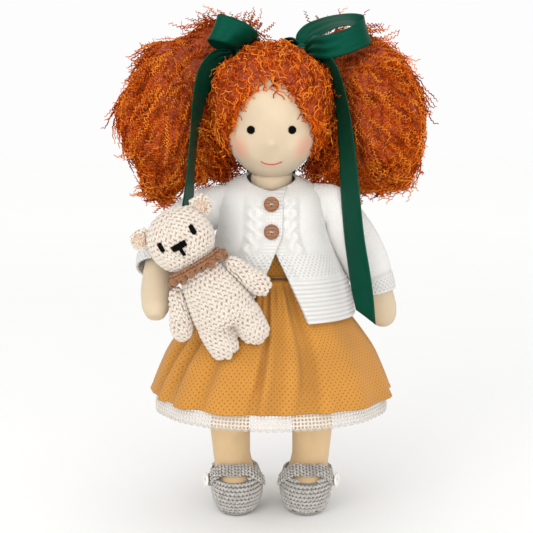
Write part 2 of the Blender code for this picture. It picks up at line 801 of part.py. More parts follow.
def make_pigtails(solid_rooms, rooms):
    for side, label, table in ((-1, "right", PIGTAIL_RIGHT_SHARES), (1, "left", PIGTAIL_LEFT_SHARES)):
        rings = []
        for row in range(PIGTAIL_ROWS):
            tilt = math.radians(80) * (2 * row / (PIGTAIL_ROWS - 1) - 1)
            rings.append([pigtail_point(side, table, t, tilt) for t in turns(PIGTAIL_SIDES)])
        pigtail = lofted(f"pigtail_{label}", rings, "mohair", "neck_pivot")
        for room in solid_rooms + rooms[side]:
            boolean(pigtail, room)


# Ribbons

def ribbon(name, places, widths, finish="satin"):
    """A thin strip through places, its width running along a vector at each place."""
    outer, inner = [], []
    last = len(places) - 1
    for i, (place, width) in enumerate(zip(places, widths)):
        way = places[min(i + 1, last)] - places[max(i - 1, 0)]
        face = way.cross(width).normalized() * RIBBON_THICKNESS / 2
        ends = (place - width / 2, place + width / 2)
        outer.append([end + face for end in ends])
        inner.append([end - face for end in ends])
    return flat_faced(shell(name, outer, inner, finish, closed=False, pivot="neck_pivot"))


def flat_faced(obj):
    """Splits a twisted strip's faces into triangles."""
    shape = bmesh.new()
    shape.from_mesh(obj.data)
    bmesh.ops.triangulate(shape, faces=shape.faces)
    shape.to_mesh(obj.data)
    shape.free()
    return obj


def smooth_route(points, steps):
    """A smooth curve through a few points, each a tuple of values that are blended alike."""
    table = [[i, *point] for i, point in enumerate(points)]
    route = []
    for k in range(steps + 1):
        at = k / steps * (len(points) - 1)
        route.append([along(table, at, column) for column in range(1, len(table[0]))])
    return route


# Places from the knot out, forward and up as shares of the loop's length,
# then the direction of the width and its share of the ribbon's
OUTER_LOOP_SHARES = {
    1: (
        (0.05, 0.05, -0.04, 0.00, 0.10, 1.00, 0.30),
        (0.18, 0.27, 0.05, -0.10, 0.05, 1.00, 0.80),
        (0.42, 0.47, 0.12, -0.20, 0.02, 1.00, 1.00),
        (0.76, 0.56, 0.23, -0.22, 0.00, 1.00, 1.00),
        (1.07, 0.49, 0.33, -0.25, 0.00, 1.00, 1.00),
        (1.18, 0.33, 0.39, -0.28, 0.10, 0.95, 1.00),
        (1.07, 0.20, 0.46, -0.30, 0.40, 0.85, 1.00),
        (0.80, 0.13, 0.50, -0.35, 0.65, 0.65, 1.00),
        (0.49, 0.08, 0.46, -0.40, 0.70, 0.55, 1.00),
        (0.18, 0.00, 0.34, -0.50, 0.65, 0.50, 0.90),
        (-0.01, -0.05, 0.21, -0.50, 0.60, 0.50, 0.65),
        (-0.04, -0.05, 0.06, -0.50, 0.50, 0.50, 0.30),
    ),
    -1: (
        (-0.04, 0.06, 0.06, 0.80, 0.00, -0.45, 0.30),
        (-0.15, 0.31, 0.13, 0.85, 0.00, -0.50, 0.90),
        (-0.04, 0.49, 0.24, 0.70, 0.00, -0.70, 1.00),
        (0.18, 0.58, 0.33, 0.50, 0.00, -0.85, 1.00),
        (0.42, 0.53, 0.40, 0.39, 0.00, -0.92, 1.00),
        (0.49, 0.40, 0.38, 0.39, 0.00, -0.92, 1.00),
        (0.36, 0.22, 0.25, 0.45, 0.20, -0.85, 1.00),
        (0.13, 0.09, 0.11, 0.50, 0.20, -0.80, 0.75),
        (0.04, -0.04, -0.04, 0.50, 0.20, -0.80, 0.30),
    ),
}
INNER_LOOP_SHARES = (
    (0.00, -0.03, 0.02, 0.60, 0.60, -0.20, 0.30),
    (-0.07, -0.17, 0.07, 0.80, 0.50, -0.25, 0.70),
    (-0.15, -0.36, 0.04, 0.85, 0.40, -0.30, 0.85),
    (-0.20, -0.54, -0.04, 0.85, 0.40, -0.30, 0.85),
    (-0.22, -0.62, 0.00, 0.85, 0.40, -0.30, 0.85),
    (-0.20, -0.57, 0.10, 0.85, 0.40, -0.30, 0.85),
    (-0.15, -0.40, 0.18, 0.85, 0.40, -0.30, 0.85),
    (-0.08, -0.17, 0.19, 0.80, 0.50, -0.25, 0.65),
    (0.00, -0.03, 0.10, 0.60, 0.60, -0.20, 0.30),
)
# Places out, forward and down as shares of the tail's length, then the width's direction and share
TAIL_SHARES = {
    1: (
        (0.035, 0.015, 0.010, 0.30, -0.60, 0.80, 0.40),
        (0.085, 0.060, 0.035, 0.30, -0.80, 0.50, 0.75),
        (0.125, 0.105, 0.110, 0.30, -0.92, 0.20, 1.00),
        (0.150, 0.145, 0.240, 0.42, -0.86, 0.10, 1.00),
        (0.166, 0.178, 0.390, 0.52, -0.80, 0.10, 1.00),
        (0.176, 0.212, 0.540, 0.62, -0.76, 0.08, 1.00),
        (0.192, 0.222, 0.700, 0.66, -0.73, 0.08, 1.00),
        (0.214, 0.240, 0.850, 0.72, -0.68, 0.08, 1.00),
        (0.235, 0.265, 1.000, 0.76, -0.64, -0.50, 1.00),
    ),
    -1: (
        (0.035, 0.015, 0.010, 0.30, -0.60, 0.80, 0.40),
        (0.085, 0.065, 0.030, 0.40, -0.65, 0.70, 0.75),
        (0.125, 0.115, 0.095, 0.60, -0.70, 0.45, 1.00),
        (0.155, 0.150, 0.205, 0.48, -0.85, 0.20, 1.00),
        (0.172, 0.176, 0.330, 0.35, -0.92, 0.12, 1.00),
        (0.183, 0.192, 0.450, 0.35, -0.92, 0.10, 1.00),
        (0.192, 0.204, 0.550, 0.60, -0.78, 0.10, 1.00),
        (0.202, 0.208, 0.640, 0.80, -0.60, 0.08, 1.00),
        (0.208, 0.210, 0.720, 0.85, -0.50, -0.35, 1.00),
    ),
}
BACK_TAIL_SHARES = (
    (0.02, -0.08, 0.03, 0.60, 0.70, 0.10, 0.45),
    (0.00, -0.28, 0.12, 0.80, 0.50, 0.05, 0.90),
    (-0.06, -0.40, 0.30, 0.90, 0.35, 0.00, 1.00),
    (-0.10, -0.44, 0.52, 0.95, 0.25, 0.00, 1.00),
    (-0.12, -0.42, 0.76, 0.97, 0.20, 0.00, 1.00),
    (-0.13, -0.38, 1.00, 0.97, 0.20, 0.40, 1.00),
)


def bow_place(side):
    return Vector((side * BOW_OUT, BOW_BACK, crown_height() - BOW_BELOW_CROWN))


def ribbon_run(name, side, table, length, steps, finish="satin"):
    knot = bow_place(side)
    places, widths = [], []
    for out, forward, up, wx, wy, wz, share in smooth_route(table, steps):
        places.append(knot + Vector((side * out, -forward, up)) * length)
        widths.append(Vector((side * wx, wy, wz)).normalized() * RIBBON_WIDTH * share)
    return ribbon(name, places, widths, finish)


def falling(table):
    """A tail's table with its third column turned from down to up."""
    return [(out, forward, -down, *rest) for out, forward, down, *rest in table]


def make_bow(side, label):
    """Two loops whose ends meet in the knot."""
    knot = bow_place(side)
    rings = []
    for lift in (-0.95, -0.6, 0, 0.6, 0.95):
        fullness = (1 - lift**4) ** 0.25
        rings.append([
            knot + Vector((
                KNOT_WIDTH / 2 * math.cos(t) * fullness,
                KNOT_DEPTH / 2 * math.sin(t) * fullness,
                KNOT_HEIGHT / 2 * lift,
            ))
            for t in turns(10)
        ])
    bow = lofted(f"bow_{label}", rings, "satin", "neck_pivot")
    pieces = [bow]
    for kind, table in (("outer", OUTER_LOOP_SHARES[side]), ("inner", INNER_LOOP_SHARES)):
        loop = ribbon_run(f"loop_{kind}_{label}", side, table, LOOP_LENGTH, LOOP_STEPS, None)
        boolean(bow, loop, "UNION")
        pieces.append(loop)
    return pieces


def make_ribbons(cap_room):
    rooms = {}
    for side, label in ((-1, "right"), (1, "left")):
        pieces = make_bow(side, label)
        tail = ribbon_run(f"ribbon_tail_{label}", side, falling(TAIL_SHARES[side]), TAIL_LENGTH, TAIL_STEPS)
        back = ribbon_run(
            f"ribbon_back_tail_{label}", side, falling(BACK_TAIL_SHARES), BACK_TAIL_LENGTH, BACK_TAIL_STEPS,
        )
        rooms[side] = [grown(piece, HAIR_POCKET) for piece in pieces + [tail, back]]
        bow_rooms = [grown(piece, PRESS_GAP) for piece in pieces]
        for piece in (tail, back):
            for room in bow_rooms + [cap_room]:
                boolean(piece, room)
        boolean(pieces[0], cap_room)
    return rooms


# Arms

def shoulder_side(share):
    """Half the torso's width at a share of its height."""
    return straight(TORSO_SHARES, share, 1) * TORSO_WIDTH / 2


def arm_root():
    """Where the arm's flat root faces the torso's side."""
    low_share = (shoulder_height() - ARM_ROOT_RADIUS - torso_bottom()) / TORSO_HEIGHT
    return shoulder_side(low_share) + ARM_GAP


ARM_SHARES = (
    # Out and down as shares of the arm's span and drop, the angle below level, the radius share of the root
    (0.00, 0.000, 0, 1.00),
    (0.14, 0.000, 0, 1.00),
    (0.27, 0.025, 28, 1.08),
    (0.40, 0.110, 52, 1.14),
    (0.62, 0.340, 60, 1.19),
    (0.84, 0.600, 66, 1.16),
    (0.93, 0.740, 74, 1.16),
    (0.965, 0.840, 80, 1.22),
    (0.985, 0.920, 83, 1.10),
    (0.995, 0.975, 85, 0.78),
    (1.00, 1.000, 86, 0.30),
)


def make_arms():
    """The straight left arm and the bent right arm, each with its sleeve."""
    root = arm_root()
    stations = []
    for out, down, angle, share in ARM_SHARES:
        slope = math.radians(angle)
        centre = (root + out * ARM_SPAN, 0, shoulder_height() - down * ARM_DROP)
        stations.append((centre, (math.cos(slope), 0, -math.sin(slope)), ARM_ROOT_RADIUS * share))
    lofted("arm_left", swept(stations, ARM_SIDES), "skin", "shoulder_left_pivot")

    top = shoulder_height() + SLEEVE_TOP_ABOVE_SHOULDER
    outer, inner = [], []
    for low, high, depth_share in zip(SLEEVE_INNER_SHARES, SLEEVE_OUTER_SHARES, SLEEVE_DEPTH_SHARES):
        a = Vector((SLEEVE_SEAM_OUT + low[0] * SLEEVE_SPAN, 0, top - low[1] * SLEEVE_DROP))
        b = Vector((SLEEVE_SEAM_OUT + high[0] * SLEEVE_SPAN, 0, top - high[1] * SLEEVE_DROP))
        centre = (a + b) / 2
        reach = (b - a) / 2
        thin = 1 - SLEEVE_THICKNESS / reach.length
        depth = Vector((0, -depth_share * SLEEVE_DROP, 0))
        depth_in = depth * (1 - SLEEVE_THICKNESS / depth.length)
        outer.append([centre + reach * math.cos(t) + depth * math.sin(t) for t in turns(SLEEVE_SIDES)])
        inner.append([centre + reach * thin * math.cos(t) + depth_in * math.sin(t) for t in turns(SLEEVE_SIDES)])
    shell("sleeve_left", outer, inner, "white_knit", pivot="shoulder_left_pivot")

    arm = bent_stations(BENT_ARM_SHARES, arm_root(), BENT_SPAN + SLEEVE_SEAM_OUT - arm_root(), ARM_ROOT_RADIUS)
    lofted("arm_right", swept(arm, ARM_SIDES), "skin", "shoulder_right_pivot")
    sleeve = bent_stations(BENT_SLEEVE_SHARES, SLEEVE_SEAM_OUT, BENT_SPAN, BENT_SLEEVE_RADIUS)
    lining = [(centre, way, radius - SLEEVE_THICKNESS) for centre, way, radius in sleeve]
    shell("sleeve_right", swept(sleeve, SLEEVE_SIDES), swept(lining, SLEEVE_SIDES), "white_knit",
          pivot="shoulder_right_pivot")


def bent_stations(table, start, span, radius):
    stations = []
    for (out, forward, down), way, share in table:
        centre = (-(start + out * span), -forward * BENT_REACH, shoulder_height() - down * BENT_DROP)
        stations.append((centre, (-way[0], way[1], way[2]), radius * share))
    return stations


# Legs and feet

FOOT_SHARES = (
    # Height as a share of the ankle's, half width, half depth and forward shift as shares of the foot
    (0.10, 0.86, 0.90, 1.00),
    (0.20, 0.95, 0.97, 1.00),
    (0.38, 1.00, 1.00, 1.00),
    (0.56, 1.00, 0.97, 0.96),
    (0.72, 0.98, 0.88, 0.80),
    (0.86, 0.94, 0.74, 0.52),
    (1.00, 0.90, 0.62, 0.22),
    (1.20, 0.88, 0.56, 0.05),
)


def foot_base():
    return SOLE_THICKNESS + GAP


def foot_point(side, turn, share):
    """The foot's skin at a turn from the toes towards +X and a share of the ankle's height."""
    half_width = along(FOOT_SHARES, share, 1) * FOOT_WIDTH / 2
    half_depth = along(FOOT_SHARES, share, 2) * FOOT_LENGTH / 2
    centre = Vector((side * FOOT_SPACING / 2, -along(FOOT_SHARES, share, 3) * FOOT_SET_FORWARD, 0))
    centre.x += side * LEG_SPLAY * 0.55 * max(share - 0.55, 0) / 0.65
    point = ellipse_point(turn, half_width, half_depth, foot_base() + share * ANKLE_HEIGHT)
    return point + centre


def make_legs():
    for side, label in ((-1, "right"), (1, "left")):
        rings = []
        for row in FOOT_SHARES:
            share = row[0] if row[0] > FOOT_SHARES[0][0] else 0
            ring = [foot_point(side, t, row[0]) for t in turns(LEG_SIDES)]
            if share == 0:
                ring = [Vector((p.x, p.y, foot_base() + GAP)) for p in ring]
            rings.append(ring)
        ankle_x = side * (FOOT_SPACING / 2 + LEG_SPLAY * 0.55)
        hip = Vector((side * HIP_SPACING / 2, 0, HIP_HEIGHT))
        calf_x = side * (FOOT_SPACING / 2 + LEG_SPLAY * 0.70)
        stations = []
        for height, x, radius in (
            (0.40, calf_x, LEG_WIDTH / 2),
            (0.70, (calf_x + hip.x) / 2, LEG_TOP_RADIUS * 0.97),
            (0.90, hip.x + (calf_x - hip.x) * 0.12, LEG_TOP_RADIUS * 0.99),
        ):
            stations.append(((x, 0, HIP_HEIGHT * height), (0, 0, 1), radius))
        for step in range(5):
            lift = math.pi / 2 * step / 5
            place = hip + Vector((0, 0, LEG_TOP_RADIUS * math.sin(lift)))
            stations.append((place, (0, 0, 1), LEG_TOP_RADIUS * math.cos(lift)))
        upper = []
        for (x, y, z), way, radius in stations:
            upper.append([ellipse_point(t, radius, radius, z) + Vector((x, y, 0)) for t in turns(LEG_SIDES)])
        lofted(f"leg_{label}", rings + upper, "skin", f"hip_{label}_pivot")
        make_shoe(side, label)


# Shoes

def shoe_top(turn):
    """The upper's edge: low over the toes, high round the heel."""
    lift = (1 - math.cos(turn)) / 2
    return (VAMP_HEIGHT + (HEEL_HEIGHT - VAMP_HEIGHT) * min(1, lift * 2.2) - foot_base()) / ANKLE_HEIGHT


def shoe_shell_point(side, turn, share, distance):
    def surface(a, b):
        return foot_point(side, a, b)
    return offset_point(surface, turn, share, distance)


def make_shoe(side, label):
    pivot = f"hip_{label}_pivot"
    outer, inner = [], []
    for row in (0.0, 0.14, 0.32, 0.52, 0.74, 1.0):
        out_row, in_row = [], []
        for turn in turns(SHOE_SIDES):
            low = FOOT_SHARES[0][0]
            share = low + (shoe_top(turn) - low) * row
            wall = SHOE_WALL * (1 if row > 0 else 0.75)
            out_row.append(shoe_shell_point(side, turn, share, PRESS_GAP + wall))
            in_row.append(shoe_shell_point(side, turn, share, PRESS_GAP))
        if row == 0:
            for point in out_row + in_row:
                point.z = foot_base()
        outer.append(out_row)
        inner.append(in_row)
    shell(f"shoe_upper_{label}", outer, inner, "grey_crochet", pivot=pivot)

    centre = Vector((side * FOOT_SPACING / 2, -FOOT_SET_FORWARD, 0))
    rings = []
    for height, share in ((0, 0.84), (SOLE_THICKNESS / 2, 0.97), (SOLE_THICKNESS, 1.0)):
        half_width = FOOT_WIDTH / 2 * share
        half_depth = (FOOT_LENGTH / 2) * share
        rings.append([ellipse_point(t, half_width, half_depth, height) + centre for t in turns(SHOE_SIDES)])
    lofted(f"shoe_sole_{label}", rings, "grey_crochet", pivot)
    make_strap(side, label)


def strap_reach(across):
    """How far off the foot the strap lies: on the skin at the front, over the upper at its ends."""
    over = (abs(across) - 0.10) / 0.30
    return PRESS_GAP + (SHOE_WALL + PRESS_GAP) * min(max(over, 0), 1)


def make_strap(side, label):
    pivot = f"strap_{label}_pivot"
    half = math.radians(STRAP_HALF_TURN)
    outer, inner = [], []
    steps = 16
    for i in range(steps + 1):
        across = 2 * i / steps - 1
        turn = across * half
        drop = (STRAP_HEIGHT - VAMP_HEIGHT + STRAP_WIDTH / 2) * across**2
        out_row, in_row = [], []
        for edge in (-0.5, 0, 0.5):
            height = STRAP_HEIGHT - drop + edge * STRAP_WIDTH
            share = (height - foot_base()) / ANKLE_HEIGHT
            reach = strap_reach(across)
            crown = STRAP_THICKNESS * (1 if edge == 0 else 0.75)
            out_row.append(shoe_shell_point(side, turn, share, reach + crown))
            in_row.append(shoe_shell_point(side, turn, share, reach))
        outer.append(out_row)
        inner.append(in_row)
    shell(f"shoe_strap_{label}", outer, inner, "grey_crochet", closed=False, pivot=pivot)

    turn = side * half * 0.86
    drop = (STRAP_HEIGHT - VAMP_HEIGHT + STRAP_WIDTH / 2) * 0.86**2
    share = (STRAP_HEIGHT - drop - foot_base()) / ANKLE_HEIGHT
    seat = shoe_shell_point(side, turn, share, strap_reach(0.86) + STRAP_THICKNESS + PRESS_GAP)
    normal = (shoe_shell_point(side, turn, share, 1) - shoe_shell_point(side, turn, share, 0)).normalized()
    disc(f"shoe_button_{label}", seat, normal, SHOE_BUTTON_RADIUS, SHOE_BUTTON_THICKNESS, "white_button", pivot)


def disc(name, seat, normal, radius, thickness, finish, pivot):
    """A button that is rounded at its rim, dished at its front and pierced by two holes."""
    across = normal.cross(Vector((0, 0, 1))).normalized()
    up = across.cross(normal)
    profile = ((0.80, 0), (1.0, 0.30), (1.0, 0.70), (0.88, 1.0), (0.70, 0.80))
    rings = []
    for reach, lift in profile:
        rings.append([
            seat + normal * thickness * lift + (across * math.cos(t) + up * math.sin(t)) * radius * reach
            for t in turns(16)
        ])
    button = lofted(name, rings, finish, pivot)
    for side in (-1, 1):
        middle = seat + up * side * BUTTON_HOLE_SPACING / 2
        stations = [
            (middle - normal * thickness, normal, BUTTON_HOLE_RADIUS),
            (middle + normal * 2 * thickness, normal, BUTTON_HOLE_RADIUS),
        ]
        hole = lofted(f"{name}_hole_{side + 2}", swept(stations, 8), None, pivot)
        boolean(button, hole)


# Dress

def make_bodice():
    shares = [row[0] for row in TORSO_SHARES if row[0] >= WAIST_SHARE]
    inner = [torso_ring(share, PRESS_GAP) for share in shares]
    outer = [torso_ring(share, PRESS_GAP + DRESS_THICKNESS) for share in shares]
    for ring, radius in ((inner, NECK_RADIUS + PRESS_GAP), (outer, NECK_RADIUS + PRESS_GAP + DRESS_THICKNESS)):
        for lift in (0.25, 1.0):
            height = torso_top() + NECKLINE_RISE * lift
            spread = DRESS_THICKNESS * 2 * (1 - lift)
            ring.append([ellipse_point(t, radius + spread, radius + spread, height) for t in turns(TORSO_SIDES)])
    bodice = shell("dress_bodice", outer, inner, "mustard_cotton")
    for side in (-1, 1):
        stations = [
            ((side * reach, 0, shoulder_height()), (side, 0, 0), ARM_ROOT_RADIUS + SWING_GAP)
            for reach in (TORSO_WIDTH / 4, TORSO_WIDTH)
        ]
        boolean(bodice, lofted(f"armhole_room_{side + 1}", swept(stations, ARM_SIDES + 2), None))


def fold_wave(turn, share):
    """How far the folds push the cloth out, most at the hem."""
    depth = FOLD_DEPTH * max(1 - share, 0) ** 1.3
    drift = 0.5 * math.sin(2 * turn + 0.6) + 0.35 * math.sin(3 * turn)
    return depth * math.cos(SKIRT_FOLDS * turn + drift)


def skirt_ring(height, offset, count, folds=1.0):
    share = (height - skirt_hem()) / SKIRT_LENGTH
    half_width = along(SKIRT_SHARES, share, 1) * SKIRT_WIDTH / 2
    half_depth = along(SKIRT_SHARES, share, 2) * SKIRT_DEPTH / 2
    ring = []
    for turn in turns(count):
        push = fold_wave(turn, min(max(share, 0), 1)) * folds
        ring.append(ellipse_point(turn, half_width, half_depth, height, offset + push))
    return ring


def make_skirt():
    heights = [skirt_hem() + share * SKIRT_LENGTH for share in SKIRT_ROW_SHARES]
    outer = [skirt_ring(height, 0, SKIRT_SIDES) for height in heights]
    inner = [skirt_ring(height, -DRESS_THICKNESS, SKIRT_SIDES) for height in heights]
    shell("skirt", outer, inner, "mustard_cotton")


def make_petticoat():
    heights = [
        skirt_hem() + (PETTICOAT_HEM_SHARE + (PETTICOAT_TOP_SHARE - PETTICOAT_HEM_SHARE) * share) * SKIRT_LENGTH
        for share in PETTICOAT_ROW_SHARES
    ]
    top = heights[-1]

    def offset(height):
        share = (top - height) / (top - heights[0])
        return -(DRESS_THICKNESS + PETTICOAT_GAP + FOLD_DEPTH * share)

    outer = [skirt_ring(height, offset(height), PETTICOAT_SIDES, 0) for height in heights]
    inner = [skirt_ring(height, offset(height) - DRESS_THICKNESS, PETTICOAT_SIDES, 0) for height in heights]
    shell("petticoat", outer, inner, "white_cotton")

    high = heights[0] - GAP
    low = skirt_hem() - LACE_DROP
    outer, inner = [], []
    for row in range(3):
        share = row / 2
        height = high + (low - high) * share
        reach = offset(heights[0]) + LACE_FLARE * share
        ring_out = skirt_ring(height, reach, SKIRT_SIDES, 0)
        ring_in = skirt_ring(height, reach - LACE_THICKNESS, SKIRT_SIDES, 0)
        for number, pair in enumerate(zip(ring_out, ring_in)):
            wave = 0.30 * FOLD_DEPTH * share * math.cos(SKIRT_FOLDS * 2 * math.pi * number / SKIRT_SIDES)
            for point in pair:
                away = Vector((point.x, point.y, 0)).normalized()
                point += away * wave
                point.z += LACE_SCALLOP * (number % 2) * (1 if share == 1 else 0)
        outer.append(ring_out)
        inner.append(ring_in)
    shell("petticoat_lace", outer, inner, "white_cotton")


# Cardigan

def cardigan_hem():
    return HIP_HEIGHT - CARDIGAN_HEM_BELOW_HIP


def cardigan_outline(turn, share):
    """The knit's outer surface: an ellipse at the hem that grows squarer at the shoulders."""
    half_width = straight(CARDIGAN_SHARES, share, 1) * CARDIGAN_WIDTH / 2
    half_depth = straight(CARDIGAN_SHARES, share, 2) * CARDIGAN_DEPTH / 2
    power = straight(CARDIGAN_SHARES, share, 3)
    x = math.copysign(abs(math.sin(turn)) ** power, math.sin(turn)) * half_width
    y = math.copysign(abs(math.cos(turn)) ** power, math.cos(turn)) * half_depth
    return Vector((x, -y, cardigan_hem() + share * CARDIGAN_HEIGHT))


def cardigan_point(turn, share, offset):
    across = cardigan_outline(turn + STEP_SHARE, share) - cardigan_outline(turn - STEP_SHARE, share)
    out = across.cross(Vector((0, 0, 1))).normalized()
    return cardigan_outline(turn, share) + out * offset


def front_edge(table, share):
    """The turn at which a front's edge lies, from its distance from the middle."""
    half_width = straight(CARDIGAN_SHARES, share, 1) * CARDIGAN_WIDTH / 2
    power = straight(CARDIGAN_SHARES, share, 3)
    reach = along(table, share) * CARDIGAN_WIDTH / 2 / half_width
    return math.copysign(math.asin(abs(reach) ** (1 / power)), reach)


def knit_height(turn, share):
    """A row's height share: above the yoke the rows dip at the front, down to the neckline."""
    away = abs(math.remainder(turn, 2 * math.pi)) / math.radians(NECK_DROP_TURN)
    drop = NECK_DROP_SHARE * max(0, 1 - away)
    above = max(share - YOKE_SHARE, 0) / (1 - YOKE_SHARE)
    return share - drop * above


def layer_lift(turn):
    """The front that buttons over the other one lies a layer further out."""
    before_end = 2 * math.pi - turn
    near = 1 - max(before_end, 0) / math.radians(OVERLAP_TURN)
    return (KNIT_THICKNESS + PRESS_GAP) * min(max(near * 1.6, 0), 1)


def make_cardigan():
    outer, inner = [], []
    for row in CARDIGAN_SHARES:
        out_row, in_row = [], []
        start = front_edge(UNDER_EDGE_SHARES, row[0])
        end = 2 * math.pi + front_edge(TOP_EDGE_SHARES, row[0])
        for column in range(CARDIGAN_SIDES + 1):
            turn = start + (end - start) * column / CARDIGAN_SIDES
            share = knit_height(turn, row[0])
            lift = layer_lift(turn)
            out_row.append(cardigan_point(turn, share, lift))
            in_row.append(cardigan_point(turn, share, lift - KNIT_THICKNESS))
        outer.append(out_row)
        inner.append(in_row)
    cardigan = shell("cardigan_body", outer, inner, "white_knit", closed=False)
    for side, label in ((-1, "right"), (1, "left")):
        seat = SLEEVE_SEAM_OUT - PRESS_GAP
        stations = [
            ((side * reach, 0, shoulder_height()), (side, 0, 0), radius)
            for reach, radius in (
                (CARDIGAN_WIDTH / 8, ARMHOLE_RADIUS),
                (seat, ARMHOLE_RADIUS),
                (seat, SHOULDER_SEAT_RADIUS),
                (CARDIGAN_WIDTH / 2, SHOULDER_SEAT_RADIUS),
            )
        ]
        boolean(cardigan, lofted(f"sleeve_room_{label}", swept(stations, ARM_SIDES + 6), None))
    lift = KNIT_THICKNESS + 2 * PRESS_GAP
    rings = [[cardigan_point(t, row[0], lift) for t in turns(CARDIGAN_SIDES)] for row in CARDIGAN_SHARES]
    return lofted("cardigan_outside", rings, None)


def make_buttons():
    for number, label in enumerate(("upper", "lower")):
        below = BUTTON_BELOW_NECK + number * BUTTON_SPACING
        share = knit_height(0, 1) - below / CARDIGAN_HEIGHT

        def front(a, b):
            return cardigan_point(a, b, KNIT_THICKNESS + PRESS_GAP)

        normal = outward(front, 0, share)
        seat = front(0, share) + normal * PRESS_GAP
        disc(f"cardigan_button_{label}", seat, normal, BUTTON_RADIUS, BUTTON_THICKNESS, "wood", "doll_axis")


# Bear

def bear_ring(centre, half_width, half_depth, offset=0):
    place = Vector(centre)
    return [
        ellipse_point(t, half_width, half_depth, place.z, offset) + Vector((place.x, place.y, 0))
        for t in turns(BEAR_SIDES)
    ]


def ball_rings(centre, half_width, half_depth, half_height, rows=9, squareness=1.0):
    rings = []
    for row in range(rows):
        lift = math.sin(math.pi / 2 * 0.97 * (2 * row / (rows - 1) - 1))
        fullness = (1 - abs(lift) ** (2 * squareness)) ** (0.5 / squareness)
        place = Vector(centre) + Vector((0, 0, half_height * lift))
        rings.append(bear_ring(place, half_width * fullness, half_depth * fullness))
    return rings


BEAR_BODY_SHARES = (
    (0.00, 0.55, 0.65),
    (0.10, 0.66, 0.80),
    (0.30, 0.80, 0.93),
    (0.55, 0.92, 1.00),
    (0.80, 1.00, 0.98),
    (1.00, 0.98, 0.90),
    (1.10, 0.90, 0.70),
)
BEAR_ARM_SHARES = (
    (-0.16, 0.30),
    (-0.10, 0.60),
    (0.00, 0.80),
    (0.35, 0.88),
    (0.62, 1.00),
    (0.80, 0.95),
    (0.93, 0.66),
    (1.00, 0.22),
)


def skirt_outside():
    """The smooth hull of the skirt's folds."""
    heights = [skirt_hem() + row[0] * SKIRT_LENGTH for row in SKIRT_SHARES if row[0] >= 0]
    rings = [skirt_ring(height, FOLD_DEPTH, SKIRT_SIDES, 0) for height in heights]
    return lofted("skirt_outside", rings, None)


def make_bear(neighbours):
    bear = "bear_pivot"
    rings = []
    for share, width, depth in reversed(BEAR_BODY_SHARES):
        height = -share * BEAR_BODY_LENGTH * 0.82
        rings.append(bear_ring((0, 0, height), BEAR_BODY_WIDTH / 2 * width, BEAR_BODY_DEPTH / 2 * depth))
    body = lofted("bear_body", rings, "cream_crochet", bear, True)
    hips = -BEAR_BODY_LENGTH * 0.82
    for side, label in ((-1, "right"), (1, "left")):
        rings = []
        radius = BEAR_LEG_WIDTH / 2
        for row in range(5):
            lift = math.radians(84 * (1 - row / 4))
            place = (side * BEAR_LEG_SPACING / 2, 0, hips - BEAR_LEG_LENGTH + radius * (1 - math.sin(lift)))
            rings.append(bear_ring(place, radius * math.cos(lift), radius * math.cos(lift)))
        rings.append(bear_ring((side * BEAR_LEG_SPACING / 2, 0, hips), radius * 1.02, radius * 1.15))
        rings.append(bear_ring((side * BEAR_LEG_SPACING / 2, 0, hips + radius), radius * 0.6, radius * 0.8))
        boolean(body, lofted(f"bear_leg_form_{label}", rings, None, bear, True), "UNION")

    head_centre = (0, 0, BEAR_NECK_TO_HEAD)
    head = lofted(
        "bear_head",
        ball_rings(head_centre, BEAR_HEAD_WIDTH / 2, BEAR_HEAD_DEPTH / 2, BEAR_HEAD_HEIGHT / 2, 11, 1.1),
        "cream_crochet", bear, True,
    )
    head_room = grown(head, GAP)
    boolean(body, head_room)
    for room in neighbours:
        boolean(body, room)
        boolean(head, room)

    body_room = grown(body, GAP)
    make_collar(head_room, body_room, neighbours)

    for side, label in ((-1, "right"), (1, "left")):
        centre = Vector((side * BEAR_EAR_OUT, 0, BEAR_NECK_TO_HEAD + BEAR_EAR_UP))
        rings = []
        for row in range(7):
            lift = math.sin(math.pi / 2 * 0.95 * (row / 3 - 1))
            fullness = math.sqrt(1 - lift**2)
            ring = []
            for t in turns(14):
                ring.append(centre + Vector((
                    BEAR_EAR_RADIUS * fullness * math.cos(t),
                    BEAR_EAR_THICKNESS / 2 * lift,
                    BEAR_EAR_RADIUS * fullness * math.sin(t),
                )))
            rings.append(ring)
        boolean(lofted(f"bear_ear_{label}", rings, "cream_crochet", bear, True), head_room)
        make_bear_arm(side, label, body, head_room, neighbours)
    make_bear_face()


def make_collar(head_room, body_room, neighbours):
    """A crochet ruff of bobbles round the neck."""
    rings = []
    steps = COLLAR_BOBBLES * 2
    for i in range(steps):
        turn = 2 * math.pi * i / steps
        swell = 1 if i % 2 else 0.74
        out = Vector((math.sin(turn), -math.cos(turn) * BEAR_BODY_DEPTH / BEAR_BODY_WIDTH * 1.12, 0))
        ring = []
        for t in turns(COLLAR_SIDES):
            across = COLLAR_THICKNESS / 2 * 0.8 * swell * math.cos(t)
            up = COLLAR_THICKNESS / 2 * swell * math.sin(t)
            ring.append(out * (COLLAR_RADIUS + across) + Vector((0, 0, up)))
        rings.append(ring)
    points = [point for ring in rings for point in ring]
    rows = [list(range(i * COLLAR_SIDES, (i + 1) * COLLAR_SIDES)) for i in range(steps)]
    faces = []
    for i in range(steps):
        faces += strip_faces(rows[i], rows[(i + 1) % steps], True)
    collar = solid("bear_collar", points, faces, "brown_crochet", "bear_pivot", True)
    for room in [head_room, body_room] + neighbours:
        boolean(collar, room)


